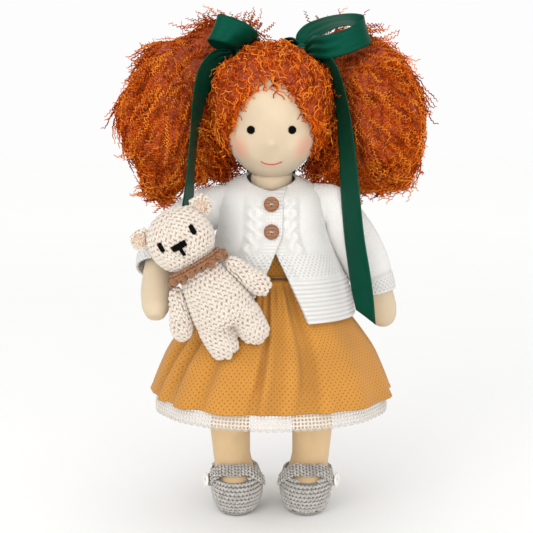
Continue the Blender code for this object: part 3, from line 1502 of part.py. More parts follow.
def make_bear_arm(side, label, body, head_room, neighbours):
    """A stuffed arm that hangs from the bear's shoulder and widens to a round paw."""
    slope = math.radians(BEAR_ARM_SLOPE)
    way = Vector((side * math.sin(slope), 0, -math.cos(slope)))
    start = pivots[f"bear_arm_{label}_pivot"][0]
    stations = []
    for at, share in BEAR_ARM_SHARES:
        stations.append((start + way * at * BEAR_ARM_LENGTH, way, BEAR_ARM_WIDTH / 2 * share))
    arm = lofted(f"bear_arm_{label}", swept(stations, 12), "cream_crochet", f"bear_arm_{label}_pivot", False)
    for step in range(3):
        room = grown(body, SWING_GAP)
        swing = Matrix.Rotation(math.radians(BEAR_ARM_LIMIT) * step / 2, 4, "X")
        room.data.transform(Matrix.Translation(start) @ swing @ Matrix.Translation(-start))
        boolean(arm, room)
    for room in [head_room] + neighbours:
        boolean(arm, room)


def bear_face_point(a, b):
    """The front of the bear's head at a place across and up, in metres from its centre."""
    rx, ry, rz = BEAR_HEAD_WIDTH / 2, BEAR_HEAD_DEPTH / 2, BEAR_HEAD_HEIGHT / 2
    left = max(1 - (a / rx) ** 2 - abs(b / rz) ** 2, 0)
    return Vector((a, -ry * math.sqrt(left), BEAR_NECK_TO_HEAD + b))


def face_bar(name, ends, width, joined=None):
    """A bar of embroidery on the bear's face."""
    stations = []
    steps = 4
    (x1, z1), (x2, z2) = ends
    for i in range(steps + 1):
        share = i / steps
        a = x1 + (x2 - x1) * share
        b = z1 + (z2 - z1) * share
        place = bear_face_point(a, b) + Vector((0, -(BEAR_YARN * 0.5 + PRESS_GAP), 0))
        stations.append(place)
    way = (stations[-1] - stations[0]).normalized()
    side = way.cross(Vector((0, -1, 0))).normalized()
    out = side.cross(way).normalized()
    if out.y > 0:
        out = -out
    rings = []
    for i, place in enumerate(stations):
        taper = 0.8 if i in (0, steps) else 1
        ring = []
        for t in turns(8):
            ring.append(place + side * math.cos(t) * width / 2 * taper + out * math.sin(t) * BEAR_YARN / 2 * taper)
        rings.append(ring)
    return lofted(name, rings, None if joined else "black_thread", "bear_pivot", True)


def make_bear_face():
    for side, label in ((-1, "right"), (1, "left")):
        x = side * BEAR_EYE_SPACING / 2
        half = BEAR_EYE_LENGTH / 2
        face_bar(f"bear_eye_{label}", ((x, BEAR_EYE_UP - half), (x, BEAR_EYE_UP + half)), BEAR_EYE_WIDTH)
    half = BEAR_NOSE_WIDTH / 2
    nose = face_bar("bear_nose", ((-half, -BEAR_NOSE_DOWN), (half, -BEAR_NOSE_DOWN)), BEAR_NOSE_HEIGHT)
    stem = face_bar(
        "bear_nose_stem",
        ((0, -BEAR_NOSE_DOWN - 2.2 * BEAR_NOSE_HEIGHT), (0, -BEAR_NOSE_DOWN)),
        BEAR_EYE_WIDTH, nose,
    )
    boolean(nose, stem, "UNION")


def make_pivots():
    """Empties on the axes of everything that turns or slides."""
    add_pivot("neck_pivot", (0, 0, torso_top()), "doll_axis")
    for side, label in ((-1, "right"), (1, "left")):
        add_pivot(f"shoulder_{label}_pivot", (side * SLEEVE_SEAM_OUT, 0, shoulder_height()), "doll_axis")
        hip = Vector((side * HIP_SPACING / 2, 0, HIP_HEIGHT))
        add_pivot(f"hip_{label}_pivot", hip, "doll_axis")
        inner = -side * math.radians(STRAP_HALF_TURN)
        share = (VAMP_HEIGHT - STRAP_WIDTH - foot_base()) / ANKLE_HEIGHT
        seat = shoe_shell_point(side, inner, share, strap_reach(1))
        add_pivot(f"strap_{label}_pivot", seat, f"hip_{label}_pivot")
    bear_place = Vector((-BEAR_OUT, -BEAR_FORWARD, HIP_HEIGHT + BEAR_NECK_ABOVE_HIP))
    add_pivot("bear_pivot", bear_place, "doll_axis", -BEAR_TILT)
    for side, label in ((-1, "right"), (1, "left")):
        name = f"bear_arm_{label}_pivot"
        shoulder = Vector((side * BEAR_ARM_OUT, 0, -BEAR_ARM_BELOW_NECK))
        empty = add_pivot(name, bear_place, "bear_pivot")
        empty.location = shoulder
        pivots[name] = (shoulder, -BEAR_TILT)


def main():
    start_scene()
    make_pivots()
    torso = make_torso()
    head = make_head()
    make_neck(torso, head)
    make_face()
    ear_rooms = make_ears(head)
    head_room = grown(head, GAP)
    cap_room = make_cap(head_room, ear_rooms)
    make_pigtails([cap_room, head_room] + ear_rooms, make_ribbons(cap_room))
    make_arms()
    make_legs()
    make_bodice()
    make_skirt()
    make_petticoat()
    cardigan_outside = make_cardigan()
    make_buttons()
    make_bear([grown(cardigan_outside, GAP), grown(skirt_outside(), GAP)])


main()
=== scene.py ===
"""A cloth doll with crimped orange pigtails, a knitted cardigan, a mustard dress and a crochet bear."""
import json
import math

import bmesh
import bpy
import numpy as np
from bpy.props import FloatProperty, FloatVectorProperty, IntProperty, PointerProperty
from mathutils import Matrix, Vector
from mathutils.bvhtree import BVHTree

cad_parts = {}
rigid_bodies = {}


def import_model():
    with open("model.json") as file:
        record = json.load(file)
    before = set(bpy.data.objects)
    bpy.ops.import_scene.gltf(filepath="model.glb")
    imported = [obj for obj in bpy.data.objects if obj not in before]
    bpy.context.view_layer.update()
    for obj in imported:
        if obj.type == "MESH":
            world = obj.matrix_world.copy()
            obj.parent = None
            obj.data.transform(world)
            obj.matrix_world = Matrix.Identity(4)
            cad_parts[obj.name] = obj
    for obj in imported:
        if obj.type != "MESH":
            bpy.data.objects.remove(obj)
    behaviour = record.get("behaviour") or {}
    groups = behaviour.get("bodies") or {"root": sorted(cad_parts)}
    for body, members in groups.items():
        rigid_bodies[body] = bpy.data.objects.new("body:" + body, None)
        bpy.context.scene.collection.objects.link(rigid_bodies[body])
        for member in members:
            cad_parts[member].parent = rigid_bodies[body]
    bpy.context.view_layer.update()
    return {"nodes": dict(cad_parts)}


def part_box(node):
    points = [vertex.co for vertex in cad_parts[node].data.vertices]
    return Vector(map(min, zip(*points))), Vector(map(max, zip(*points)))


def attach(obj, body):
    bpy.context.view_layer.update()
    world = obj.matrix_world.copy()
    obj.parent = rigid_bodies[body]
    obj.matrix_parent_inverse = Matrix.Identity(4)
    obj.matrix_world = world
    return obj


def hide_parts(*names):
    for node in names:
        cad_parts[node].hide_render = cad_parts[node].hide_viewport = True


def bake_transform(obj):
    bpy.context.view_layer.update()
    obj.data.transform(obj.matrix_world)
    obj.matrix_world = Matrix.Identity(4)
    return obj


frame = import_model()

bl_info = {
    "name": "Cloth Doll",
    "version": (1, 0, 0),
    "blender": (4, 5, 0),
    "location": "View3D > Sidebar > Cloth Doll",
    "description": "Dresses a soft doll, its crimped hair, its knitted clothes and its crochet bear",
    "category": "Object",
}

PHOTO_SIZE = 533
METRES_PER_PIXEL = 0.00084
AXIS = np.array((-0.0009, 0.0010, 0.0))
SHORTEST = 0.0001
LONGEST = 0.2
VARIANTS = 6
CHEEK_OUT = 0.0285
CHEEK_FRONT = -0.030
FACE_OPENING = (0.0435, 0.0450, 0.0537)


def linear(red, green, blue):
    """A colour in 0-255 display values as linear light."""
    shares = [value / 255 for value in (red, green, blue)]
    return tuple(s / 12.92 if s <= 0.04045 else ((s + 0.055) / 1.055) ** 2.4 for s in shares)


# Settings

def colour_setting(name, description, value):
    return FloatVectorProperty(
        name=name, description=description, default=linear(*value), subtype="COLOR", size=3, min=0, max=1,
    )


def length_setting(name, description, value):
    return FloatProperty(
        name=name, description=description, default=value, min=SHORTEST, max=LONGEST,
        subtype="DISTANCE", unit="LENGTH", precision=4,
    )


class DollColours(bpy.types.PropertyGroup):
    """Colours of the doll's cloths, yarns and fastenings."""
    skin: colour_setting("Skin", "Cotton jersey of the head and hands", (206, 186, 157))
    leg: colour_setting("Legs", "Deeper jersey of the legs", (217, 185, 140))
    blush: colour_setting("Blush", "Rubbed-in colour of the cheeks", (228, 138, 108))
    hair_dark: colour_setting("Hair shadow", "Deepest strands of the hair", (140, 42, 2))
    hair_mid: colour_setting("Hair", "Most of the hair", (220, 90, 4))
    hair_light: colour_setting("Hair light", "Palest strands of the hair", (255, 152, 50))
    ribbon: colour_setting("Ribbon", "Satin of the bows and tails", (1, 54, 38))
    dress: colour_setting("Dress", "Mustard cotton of the skirt and bodice", (200, 137, 49))
    dress_dot: colour_setting("Dress dots", "Pinholes of the mustard cotton", (128, 66, 12))
    knit: colour_setting("Cardigan", "White knitting yarn", (243, 240, 236))
    cotton: colour_setting("Petticoat", "White cotton and its lace", (217, 210, 201))
    shoe: colour_setting("Shoes", "Grey crochet yarn", (204, 199, 192))
    bear: colour_setting("Bear", "Cream crochet yarn", (224, 212, 199))
    # Painted shade: the bear's gaps between stitches get this darker, browner colour for the shade that falls
    # there.
    bear_gap_shade: colour_setting("Bear gaps", "Stuffing seen between the stitches", (186, 156, 116))
    collar: colour_setting("Bear collar", "Brown crochet yarn", (164, 106, 58))
    wood: colour_setting("Wooden buttons", "Face of the wooden buttons", (142, 92, 58))
    plastic: colour_setting("White buttons", "Buttons of the shoes", (236, 234, 228))
    eye: colour_setting("Eyes", "Black embroidery thread", (7, 6, 5))
    lips: colour_setting("Mouth", "Red embroidery thread", (206, 88, 76))
    floor: colour_setting("Floor", "Plain pale floor", (246, 246, 245))


class DollSizes(bpy.types.PropertyGroup):
    """Sizes of the yarns, stitches and cloths."""
    strand_length: length_setting("Strand length", "One crimped strand of a pigtail", 0.027)
    strand_width: length_setting("Strand width", "Thickness of a crimped strand", 0.0011)
    crimp_length: length_setting("Crimp", "From one crimp to the next", 0.0028)
    crimp_depth: length_setting("Crimp depth", "How far a crimp swings to each side", 0.0011)
    strands: IntProperty(name="Strands", description="Strands of one pigtail", default=2800, min=50, max=9000)
    curls: IntProperty(name="Curls", description="Curls of the cap", default=4100, min=50, max=5000)
    curl_length: length_setting("Curl", "Length of a curl of the cap", 0.0105)
    ribbon_width: length_setting("Ribbon width", "Width of the satin ribbon", 0.022)
    ribbon_thickness: length_setting("Ribbon thickness", "Thickness of the satin ribbon", 0.0006)
    dress_thickness: length_setting("Dress thickness", "Thickness of the mustard cotton", 0.0009)
    knit_thickness: length_setting("Knit thickness", "Thickness of the cardigan's knitting", 0.0022)
    ridge: length_setting("Garter ridge", "From one garter ridge to the next", 0.0034)
    lace_cell: length_setting("Lace cell", "From one hole of the lace to the next", 0.0031)
    bear_stitch: length_setting("Bear stitch", "Width of a stitch of the bear", 0.0043)
    shoe_stitch: length_setting("Shoe stitch", "Width of a stitch of the shoes", 0.0035)


def colours():
    return bpy.context.scene.doll_colours


def sizes():
    return bpy.context.scene.doll_sizes


# Numbers

def smooth_table(table, at):
    """Smooth values between a table's rows, whose first column rises; at may be an array."""
    rows = np.array([row[0] for row in table], float)
    values = np.array([row[1:] for row in table], float)
    at = np.clip(np.asarray(at, float), rows[0], rows[-1])
    i = np.clip(np.searchsorted(rows, at, side="right") - 1, 0, len(rows) - 2)
    low = np.maximum(np.arange(len(rows)) - 1, 0)
    high = np.minimum(np.arange(len(rows)) + 1, len(rows) - 1)
    slopes = (values[high] - values[low]) / (rows[high] - rows[low])[:, None]
    span = (rows[i + 1] - rows[i])[..., None]
    t = (at - rows[i])[..., None] / span
    h1 = 2 * t**3 - 3 * t**2 + 1
    h2 = t**3 - 2 * t**2 + t
    h3 = 3 * t**2 - 2 * t**3
    h4 = t**3 - t**2
    return h1 * values[i] + h2 * span * slopes[i] + h3 * values[i + 1] + h4 * span * slopes[i + 1]


def straight_table(table, at, column=1):
    return np.interp(at, [row[0] for row in table], [row[column] for row in table])


def smooth_step(value):
    value = np.clip(value, 0, 1)
    return value * value * (3 - 2 * value)


def unit(vectors):
    return vectors / np.maximum(np.linalg.norm(vectors, axis=-1, keepdims=True), 1e-12)


def bell(away, width):
    """A bell curve: 1 where away is 0."""
    return np.exp(-0.5 * (away / width) ** 2)


def even_turns(count):
    return np.arange(count) * 2 * math.pi / count


def path_steps(points):
    return np.linalg.norm(np.diff(points, axis=0), axis=1)


def path_length(points):
    return float(path_steps(points).sum())


def path_lengths(points):
    """How far along a path each of its points lies."""
    return np.concatenate([[0], np.cumsum(path_steps(points))])


def blurred(values, sigma, axis, wrap):
    """Gaussian smoothing along one axis; an open end is carried on in a straight line."""
    if sigma <= 0:
        return values
    reach = int(math.ceil(3 * sigma))
    reach = min(reach, values.shape[axis] - 1)
    steps = np.arange(-reach, reach + 1)
    kernel = bell(steps, sigma)
    kernel /= kernel.sum()
    moved = np.moveaxis(values, axis, 0)
    if wrap:
        longer = np.concatenate([moved[-reach:], moved, moved[:reach]])
    else:
        before = 2 * moved[:1] - moved[1:reach + 1][::-1]
        after = 2 * moved[-1:] - moved[-reach - 1:-1][::-1]
        longer = np.concatenate([before, moved, after])
    total = sum(weight * longer[k:k + len(moved)] for k, weight in enumerate(kernel))
    return np.moveaxis(total, 0, axis)


def lumps(points, size, seed):
    """A soft random wave over points, about -1 to 1, with the given lump size."""
    count = 14
    random = np.random.default_rng(seed)
    ways = unit(random.normal(size=(count, 3))) / size * 2.4
    phases = random.uniform(0, 2 * math.pi, count)
    return np.sin(points @ ways.T + phases).sum(-1) / math.sqrt(count)


# Surfaces of the frame

def arrays(mesh):
    """Points and triangles of a mesh."""
    points = np.empty(len(mesh.vertices) * 3)
    mesh.vertices.foreach_get("co", points)
    mesh.calc_loop_triangles()
    triangles = np.empty(len(mesh.loop_triangles) * 3, np.int64)
    mesh.loop_triangles.foreach_get("vertices", triangles)
    return points.reshape(-1, 3), triangles.reshape(-1, 3)


def cad_mesh(node):
    """Points and triangles of a CAD node with its doubles merged."""
    points, triangles = arrays(frame["nodes"][node].data)
    points, index = np.unique(np.round(points, 6), axis=0, return_inverse=True)
    triangles = index.reshape(-1)[triangles]
    kept = (triangles != np.roll(triangles, 1, 1)).all(1)
    return points, triangles[kept]


def tree_of(points, triangles):
    return BVHTree.FromPolygons(points.tolist(), triangles.tolist(), epsilon=0.0)


def middle(node):
    low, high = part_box(node)
    return np.array((low + high) / 2)


# Pieces

def new_object(name, mesh):
    obj = bpy.data.objects.new(name, mesh)
    bpy.context.scene.collection.objects.link(obj)
    return obj


def new_piece(name, points, faces, uvs=None, material=None):
    """A mesh object from plain arrays, with uvs for each corner."""
    mesh = bpy.data.meshes.new(name)
    faces = faces.tolist() if isinstance(faces, np.ndarray) else faces
    mesh.from_pydata(np.asarray(points).tolist(), [], faces)
    if uvs is not None:
        layer = mesh.uv_layers.new(name="cloth")
        layer.data.foreach_set("uv", np.asarray(uvs, np.float32).reshape(-1))
    mesh.shade_smooth()
    if material:
        mesh.materials.append(material)
    return new_object(name, mesh)


def bake(obj):
    """Applies a piece's modifiers to its mesh."""
    graph = bpy.context.evaluated_depsgraph_get()
    evaluated = obj.evaluated_get(graph)
    mesh = bpy.data.meshes.new_from_object(evaluated, preserve_all_data_layers=True, depsgraph=graph)
    obj.modifiers.clear()
    old = obj.data
    obj.data = mesh
    if old.users == 0:
        bpy.data.meshes.remove(old)
    mesh.name = obj.name
    return obj


def thickened(obj, thickness):
    """Gives a sheet its thickness, inwards from its face."""
    solid = obj.modifiers.new("thickness", "SOLIDIFY")
    solid.thickness = thickness
    solid.offset = -1
    return bake(obj)


def reshaped(mesh, change):
    """Runs a change on a mesh through its edges and faces."""
    shape = bmesh.new()
    shape.from_mesh(mesh)
    change(shape)
    shape.to_mesh(mesh)
    shape.free()


def normals_of(mesh):
    values = np.empty(len(mesh.vertices) * 3)
    mesh.vertices.foreach_get("normal", values)
    return values.reshape(-1, 3)


def push(obj, distances):
    """Moves each point of a piece along its normal."""
    points, _ = arrays(obj.data)
    points += normals_of(obj.data) * np.asarray(distances).reshape(-1, 1)
    obj.data.vertices.foreach_set("co", points.reshape(-1))
    obj.data.update()
    return obj


def refined(name, node, voxel, passes, grow=0.0, material=None):
    """A smooth, even copy of a CAD node's surface."""
    points, triangles = cad_mesh(node)
    obj = new_piece(name, points, triangles, None, material)
    even = obj.modifiers.new("even", "REMESH")
    even.mode = "VOXEL"
    even.voxel_size = voxel
    even.use_smooth_shade = True
    smooth = obj.modifiers.new("smooth", "SMOOTH")
    smooth.factor = 0.5
    smooth.iterations = passes
    bake(obj)
    obj.data.shade_smooth()
    if grow:
        push(obj, np.full(len(obj.data.vertices), grow))
    return obj


def grid_normals(places, closed):
    if closed:
        across = np.roll(places, -1, 1) - np.roll(places, 1, 1)
    else:
        across = np.gradient(places, axis=1)
    return unit(np.cross(across, np.gradient(places, axis=0)))


def grid_piece(name, places, uv, closed, material, thickness=0.0):
    """A sheet through rows of points. A closed sheet's uv has one more column than its points."""
    rows, columns = places.shape[:2]
    count = columns if closed else columns - 1
    r = np.arange(rows - 1)[:, None]
    c = np.arange(count)[None, :]
    n = (c + 1) % columns
    faces = np.stack([r * columns + c, r * columns + n, (r + 1) * columns + n, (r + 1) * columns + c], -1)
    corners = np.stack([uv[r, c], uv[r, c + 1], uv[r + 1, c + 1], uv[r + 1, c]], 2)
    faces = faces.reshape(-1, 4)
    corners = corners.reshape(-1, 4, 2)
    away = places - places.mean(axis=(0, 1), keepdims=True)
    if (grid_normals(places, closed) * away).sum() < 0:
        faces = faces[:, ::-1]
        corners = corners[:, ::-1]
    obj = new_piece(name, places.reshape(-1, 3), faces, corners, material)
    return thickened(obj, thickness) if thickness else obj


def lengths_uv(places, closed):
    """Texture places in metres: along the longest row, and along the columns."""
    ring = np.concatenate([places, places[:, :1]], 1) if closed else places
    steps = np.linalg.norm(np.diff(ring, axis=1), axis=-1)
    widest = steps.sum(1).argmax()
    u = np.concatenate([[0], np.cumsum(steps[widest])])
    rise = np.linalg.norm(np.diff(places, axis=0), axis=-1).mean(1)
    v = np.concatenate([[0], np.cumsum(rise)])
    return np.stack(np.broadcast_arrays(u[None, :], v[:, None]), -1).astype(float)


def tube_mesh(centres, radii, sides, up):
    """Points and faces of a closed tube along a path; up starts its first ring."""
    centres = np.asarray(centres, float)
    ways = unit(np.gradient(centres, axis=0))
    side = np.array(up, float)
    turns = even_turns(sides)
    rings = []
    for centre, way, radius in zip(centres, ways, radii):
        side = side - way * (side @ way)
        if np.linalg.norm(side) < 1e-6:
            side = np.cross(way, (1.0, 0.0, 0.0))
        side = side / np.linalg.norm(side)
        other = np.cross(way, side)
        rings.append(centre + radius * (np.cos(turns)[:, None] * side + np.sin(turns)[:, None] * other))
    points = np.concatenate(rings)
    faces = []
    for r in range(len(centres) - 1):
        for s in range(sides):
            n = (s + 1) % sides
            faces.append((r * sides + s, r * sides + n, (r + 1) * sides + n, (r + 1) * sides + s))
    last = (len(centres) - 1) * sides
    faces += [tuple(reversed(range(sides))), tuple(range(last, last + sides))]
    return points, faces


def merged(parts):
    """Several pairs of points and faces as one pair."""
    points, faces = [], []
    count = 0
    for more_points, more_faces in parts:
        points.append(more_points)
        faces += [tuple(i + count for i in face) for face in more_faces]
        count += len(more_points)
    return np.concatenate(points), faces


def tubes_piece(name, runs, material):
    """One piece of several closed tubes, each run a (centres, radii, sides, up) tuple."""
    points, faces = merged(tube_mesh(*run) for run in runs)
    return new_piece(name, points, faces, None, material)


# Node trees

class Wiring:
    """Adds nodes to a tree and joins them up."""

    def __init__(self, tree):
        self.tree = tree

    def node(self, kind, values=None, **settings):
        made = self.tree.nodes.new(kind)
        for key, value in settings.items():
            setattr(made, key, value)
        for key, value in (values or {}).items():
            socket = made.inputs[key]
            if isinstance(value, bpy.types.NodeSocket):
                self.tree.links.new(value, socket)
            else:
                socket.default_value = value
        return made

    def math(self, operation, *values):
        return self.node("ShaderNodeMath", dict(enumerate(values)), operation=operation).outputs[0]

    def times(self, first, second):
        return self.math("MULTIPLY", first, second)

    def plus(self, first, second):
        return self.math("ADD", first, second)

    def minus(self, first, second):
        return self.math("SUBTRACT", first, second)

    def times_plus(self, first, second, third):
        return self.math("MULTIPLY_ADD", first, second, third)

    def wave(self, operation, turn):
        """A sine or cosine between 0 and 1."""
        return self.times_plus(self.math(operation, turn), 0.5, 0.5)

    def length(self, place):
        return self.node("ShaderNodeVectorMath", {0: place}, operation="LENGTH").outputs["Value"]

    def stored(self, name):
        """A number kept on the points of a piece."""
        return self.node("ShaderNodeAttribute", attribute_name=name).outputs["Fac"]

    def vector(self, operation, *values):
        return self.node("ShaderNodeVectorMath", dict(enumerate(values)), operation=operation).outputs[0]

    def ranged(self, value, low, high, to_low=0.0, to_high=1.0, smooth=True):
        kind = "SMOOTHSTEP" if smooth else "LINEAR"
        inputs = {"Value": value, "From Min": low, "From Max": high, "To Min": to_low, "To Max": to_high}
        return self.node("ShaderNodeMapRange", inputs, interpolation_type=kind).outputs[0]

    def mixed(self, share, first, second, blend="MIX"):
        made = self.node("ShaderNodeMix", data_type="RGBA", blend_type=blend)
        for socket, value in ((made.inputs[0], share), (made.inputs[6], first), (made.inputs[7], second)):
            if isinstance(value, bpy.types.NodeSocket):
                self.tree.links.new(value, socket)
            elif isinstance(value, (int, float)):
                socket.default_value = value
            else:
                socket.default_value = (*value, 1.0)
        return made.outputs[2]

    def noise(self, place, scale, detail=2.0, rough=0.5):
        return self.node(
            "ShaderNodeTexNoise", {"Vector": place, "Scale": scale, "Detail": detail, "Roughness": rough},
        ).outputs[0]

    def split(self, place):
        return self.node("ShaderNodeSeparateXYZ", {0: place}).outputs

    def join(self, x, y, z):
        return self.node("ShaderNodeCombineXYZ", {0: x, 1: y, 2: z}).outputs[0]


def shader_group(name, inputs, outputs):
    """A shader node group with its sockets; returns the wiring and the two end nodes."""
    tree = bpy.data.node_groups.new(name, "ShaderNodeTree")
    for label, kind, value in inputs:
        socket = tree.interface.new_socket(label, in_out="INPUT", socket_type=kind)
        if value is not None:
            socket.default_value = value
    for label, kind in outputs:
        tree.interface.new_socket(label, in_out="OUTPUT", socket_type=kind)
    wires = Wiring(tree)
    return wires, wires.node("NodeGroupInput").outputs, wires.node("NodeGroupOutput")


def knit_group():
    """Rows of V stitches over a texture place in metres."""
    wires, inputs, end = shader_group(
        "knit stitches",
        [("Place", "NodeSocketVector", None), ("Width", "NodeSocketFloat", 0.0016),
         ("Height", "NodeSocketFloat", 0.0013), ("Slant", "NodeSocketFloat", 0.9)],
        [("Relief", "NodeSocketFloat"), ("Gap", "NodeSocketFloat")],
    )
    x, y, _ = wires.split(inputs["Place"])
    across = wires.math("FRACT", wires.math("DIVIDE", x, inputs["Width"]))
    away = wires.math("ABSOLUTE", wires.minus(across, 0.5))
    up = wires.math("DIVIDE", y, inputs["Height"])
    lean = wires.minus(up, wires.times(away, inputs["Slant"]))
    turn = wires.times(lean, 2 * math.pi)
    wave = wires.plus(wires.times(wires.math("COSINE", turn), 0.5), 0.5)
    leg = wires.minus(1.0, wires.math("ABSOLUTE", wires.times_plus(away, 4.0, -1.0)))
    between = wires.math("MAXIMUM", wires.times_plus(away, -4.0, 1.0), 0.0)
    filled = wires.times_plus(between, 0.50, leg)
    round_leg = wires.math("POWER", wires.math("MAXIMUM", filled, 0.0), 0.6)
    relief = wires.times(round_leg, wires.times_plus(wave, 0.65, 0.35))
    wires.tree.links.new(relief, end.inputs["Relief"])
    # The gap mask marks the low places between the stitch legs, where the materials paint shade.
    wires.tree.links.new(wires.ranged(relief, 0.30, 0.05), end.inputs["Gap"])
    return wires.tree


def dots_group():
    """A diamond net of small pinholes, and fine ribs between them, over a texture place in metres."""
    wires, inputs, end = shader_group(
        "ribs and pinholes",
        [("Place", "NodeSocketVector", None), ("Pitch", "NodeSocketFloat", 0.0038),
         ("Hole", "NodeSocketFloat", 0.16), ("Ribs", "NodeSocketFloat", 3.0)],
        [("Hole", "NodeSocketFloat"), ("Rib", "NodeSocketFloat")],
    )
    x, y, _ = wires.split(inputs["Place"])
    u = wires.math("DIVIDE", x, inputs["Pitch"])
    v = wires.math("DIVIDE", y, inputs["Pitch"])
    along = wires.minus(wires.math("FRACT", wires.plus(u, v)), 0.5)
    across = wires.minus(wires.math("FRACT", wires.minus(u, v)), 0.5)
    away = wires.math("SQRT", wires.plus(wires.times(along, along), wires.times(across, across)))
    wider = wires.plus(inputs["Hole"], 0.09)
    hole = wires.ranged(away, wider, inputs["Hole"])
    turn = wires.times(wires.times(u, inputs["Ribs"]), 2 * math.pi)
    rib = wires.wave("COSINE", turn)
    wires.tree.links.new(hole, end.inputs["Hole"])
    wires.tree.links.new(rib, end.inputs["Rib"])
    return wires.tree


def fibre_group():
    """Soft fibres and mottling of a yarn or cloth."""
    wires, inputs, end = shader_group(
        "yarn fibres",
        [("Place", "NodeSocketVector", None), ("Fine", "NodeSocketFloat", 2600.0),
         ("Broad", "NodeSocketFloat", 60.0)],
        [("Fibre", "NodeSocketFloat"), ("Mottle", "NodeSocketFloat")],
    )
    fine = wires.noise(inputs["Place"], inputs["Fine"], 3.0, 0.7)
    broad = wires.noise(inputs["Place"], inputs["Broad"], 2.0, 0.5)
    wires.tree.links.new(wires.ranged(fine, 0.3, 0.7, smooth=False), end.inputs["Fibre"])
    wires.tree.links.new(wires.ranged(broad, 0.3, 0.7), end.inputs["Mottle"])
    return wires.tree


GROUPS = {}
MATERIALS = {}


def group(name):
    if name not in GROUPS:
        GROUPS[name] = {"knit": knit_group, "dots": dots_group, "fibre": fibre_group}[name]()
    return GROUPS[name]


def start_material(name):
    """A material with its Principled shader; returns the material, its wiring and the shader."""
    material = bpy.data.materials.new(name)
    material.use_nodes = True
    tree = material.node_tree
    shader = tree.nodes["Principled BSDF"]
    return material, Wiring(tree), shader


def darker(colour, share):
    return tuple(value * share for value in colour)


def join_up(wires, shader, colour, rough, height=None, strength=0.5, distance=0.0003):
    """Feeds the shader with a colour, a roughness and a relief."""
    for key, value in (("Base Color", colour), ("Roughness", rough)):
        if isinstance(value, bpy.types.NodeSocket):
            wires.tree.links.new(value, shader.inputs[key])
        elif key == "Roughness":
            shader.inputs[key].default_value = value
        else:
            shader.inputs[key].default_value = (*value, 1.0)
    if height is not None:
        bump = wires.node("ShaderNodeBump", {"Height": height, "Strength": strength, "Distance": distance})
        wires.tree.links.new(bump.outputs[0], shader.inputs["Normal"])


def soft_sheen(shader, weight, rough=0.5, tint=(1.0, 1.0, 1.0)):
    shader.inputs["Sheen Weight"].default_value = weight
    shader.inputs["Sheen Roughness"].default_value = rough
    shader.inputs["Sheen Tint"].default_value = (*tint, 1.0)


def placed(wires, name, place, **values):
    """A shader group node with its place and values; returns its outputs."""
    made = wires.node("ShaderNodeGroup")
    made.node_tree = group(name)
    wires.tree.links.new(place, made.inputs["Place"])
    for key, value in values.items():
        made.inputs[key].default_value = value
    return made.outputs


def object_place(wires):
    return wires.node("ShaderNodeTexCoord").outputs["Object"]


def uv_place(wires):
    return wires.node("ShaderNodeTexCoord").outputs["UV"]


def jersey_material(name, colour, blush=False):
    """Fine cotton jersey, with rubbed-in cheeks on the face."""
    material, wires, shader = start_material(name)
    place = object_place(wires)
    x, y, z = wires.split(place)
    fibres = placed(wires, "fibre", place, Fine=1800.0, Broad=38.0)
    flat = wires.join(wires.times_plus(y, 0.7, x), z, 0.0)
    knit = placed(wires, "knit", flat, Width=0.0010, Height=0.0008)
    tone = wires.mixed(fibres["Mottle"], darker(colour, 0.93), darker(colour, 1.03))
    if blush:
        cheek_height = float(middle("eye_left")[2] * 0.40 + middle("mouth")[2] * 0.60)
        out = wires.math("ABSOLUTE", wires.minus(x, float(AXIS[0])))
        gap = wires.join(
            wires.minus(out, CHEEK_OUT), wires.minus(y, CHEEK_FRONT), wires.minus(z, cheek_height),
        )
        reach = wires.length(gap)
        mask = wires.times(wires.ranged(reach, 0.016, 0.002), 0.54)
        tone = wires.mixed(mask, tone, colours().blush)
    # Painted shade: the jersey is slightly darkened in the gaps between its stitches.
    tone = wires.mixed(wires.times(knit["Gap"], 0.10), tone, darker(colour, 0.6))
    height = wires.times_plus(fibres["Fibre"], 0.35, knit["Relief"])
    join_up(wires, shader, tone, 0.85, height, 0.16, 0.00012)
    soft_sheen(shader, 0.18, 0.6)
    return material


def hair_material(name, shade_share):
    """Crimped mohair: each strand has its own tone, with painted shade near its root beside the bows and
    beside the head.
    """
    material, wires, shader = start_material(name)
    place = object_place(wires)
    x, _, z = wires.split(place)
    strand = wires.stored("tone")
    fibres = placed(wires, "fibre", place, Fine=1500.0, Broad=70.0)
    clump = wires.noise(place, 95.0, 2.0, 0.6)
    value = wires.times_plus(wires.minus(clump, 0.5), 1.1, strand)
    root_z = float(middle("bow_left")[2]) - 0.012
    root_x = abs(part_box("ribbon_back_tail_left")[0].x) + 0.024
    gap = wires.join(wires.minus(wires.math("ABSOLUTE", x), root_x), 0.0, wires.minus(z, root_z))
    reach = wires.length(gap)
    # Painted shade: the hair is darkened near the bows, where the strands start, and beside the head towards
    # the neck.
    near = wires.ranged(reach, 0.075, 0.012)
    head = wires.ranged(wires.math("ABSOLUTE", x), 0.062, 0.036)
    below = wires.ranged(z, 0.300, 0.345, 1.0, 0.0)
    value = wires.minus(value, wires.times(near, 0.30 * shade_share))
    value = wires.minus(value, wires.times(wires.times(head, below), 0.35 * shade_share))
    ramp = wires.node("ShaderNodeValToRGB", {0: value})
    stops = ramp.color_ramp.elements
    stops[0].position = 0.02
    stops[0].color = (*colours().hair_dark, 1.0)
    stops[1].position = 0.98
    stops[1].color = (*colours().hair_light, 1.0)
    mid = stops.new(0.42)
    mid.color = (*colours().hair_mid, 1.0)
    join_up(wires, shader, ramp.outputs[0], 0.62, fibres["Fibre"], 0.35, 0.0002)
    shader.inputs["Specular IOR Level"].default_value = 0.06
    soft_sheen(shader, 0.04, 0.4, (1.0, 0.6, 0.3))
    return material


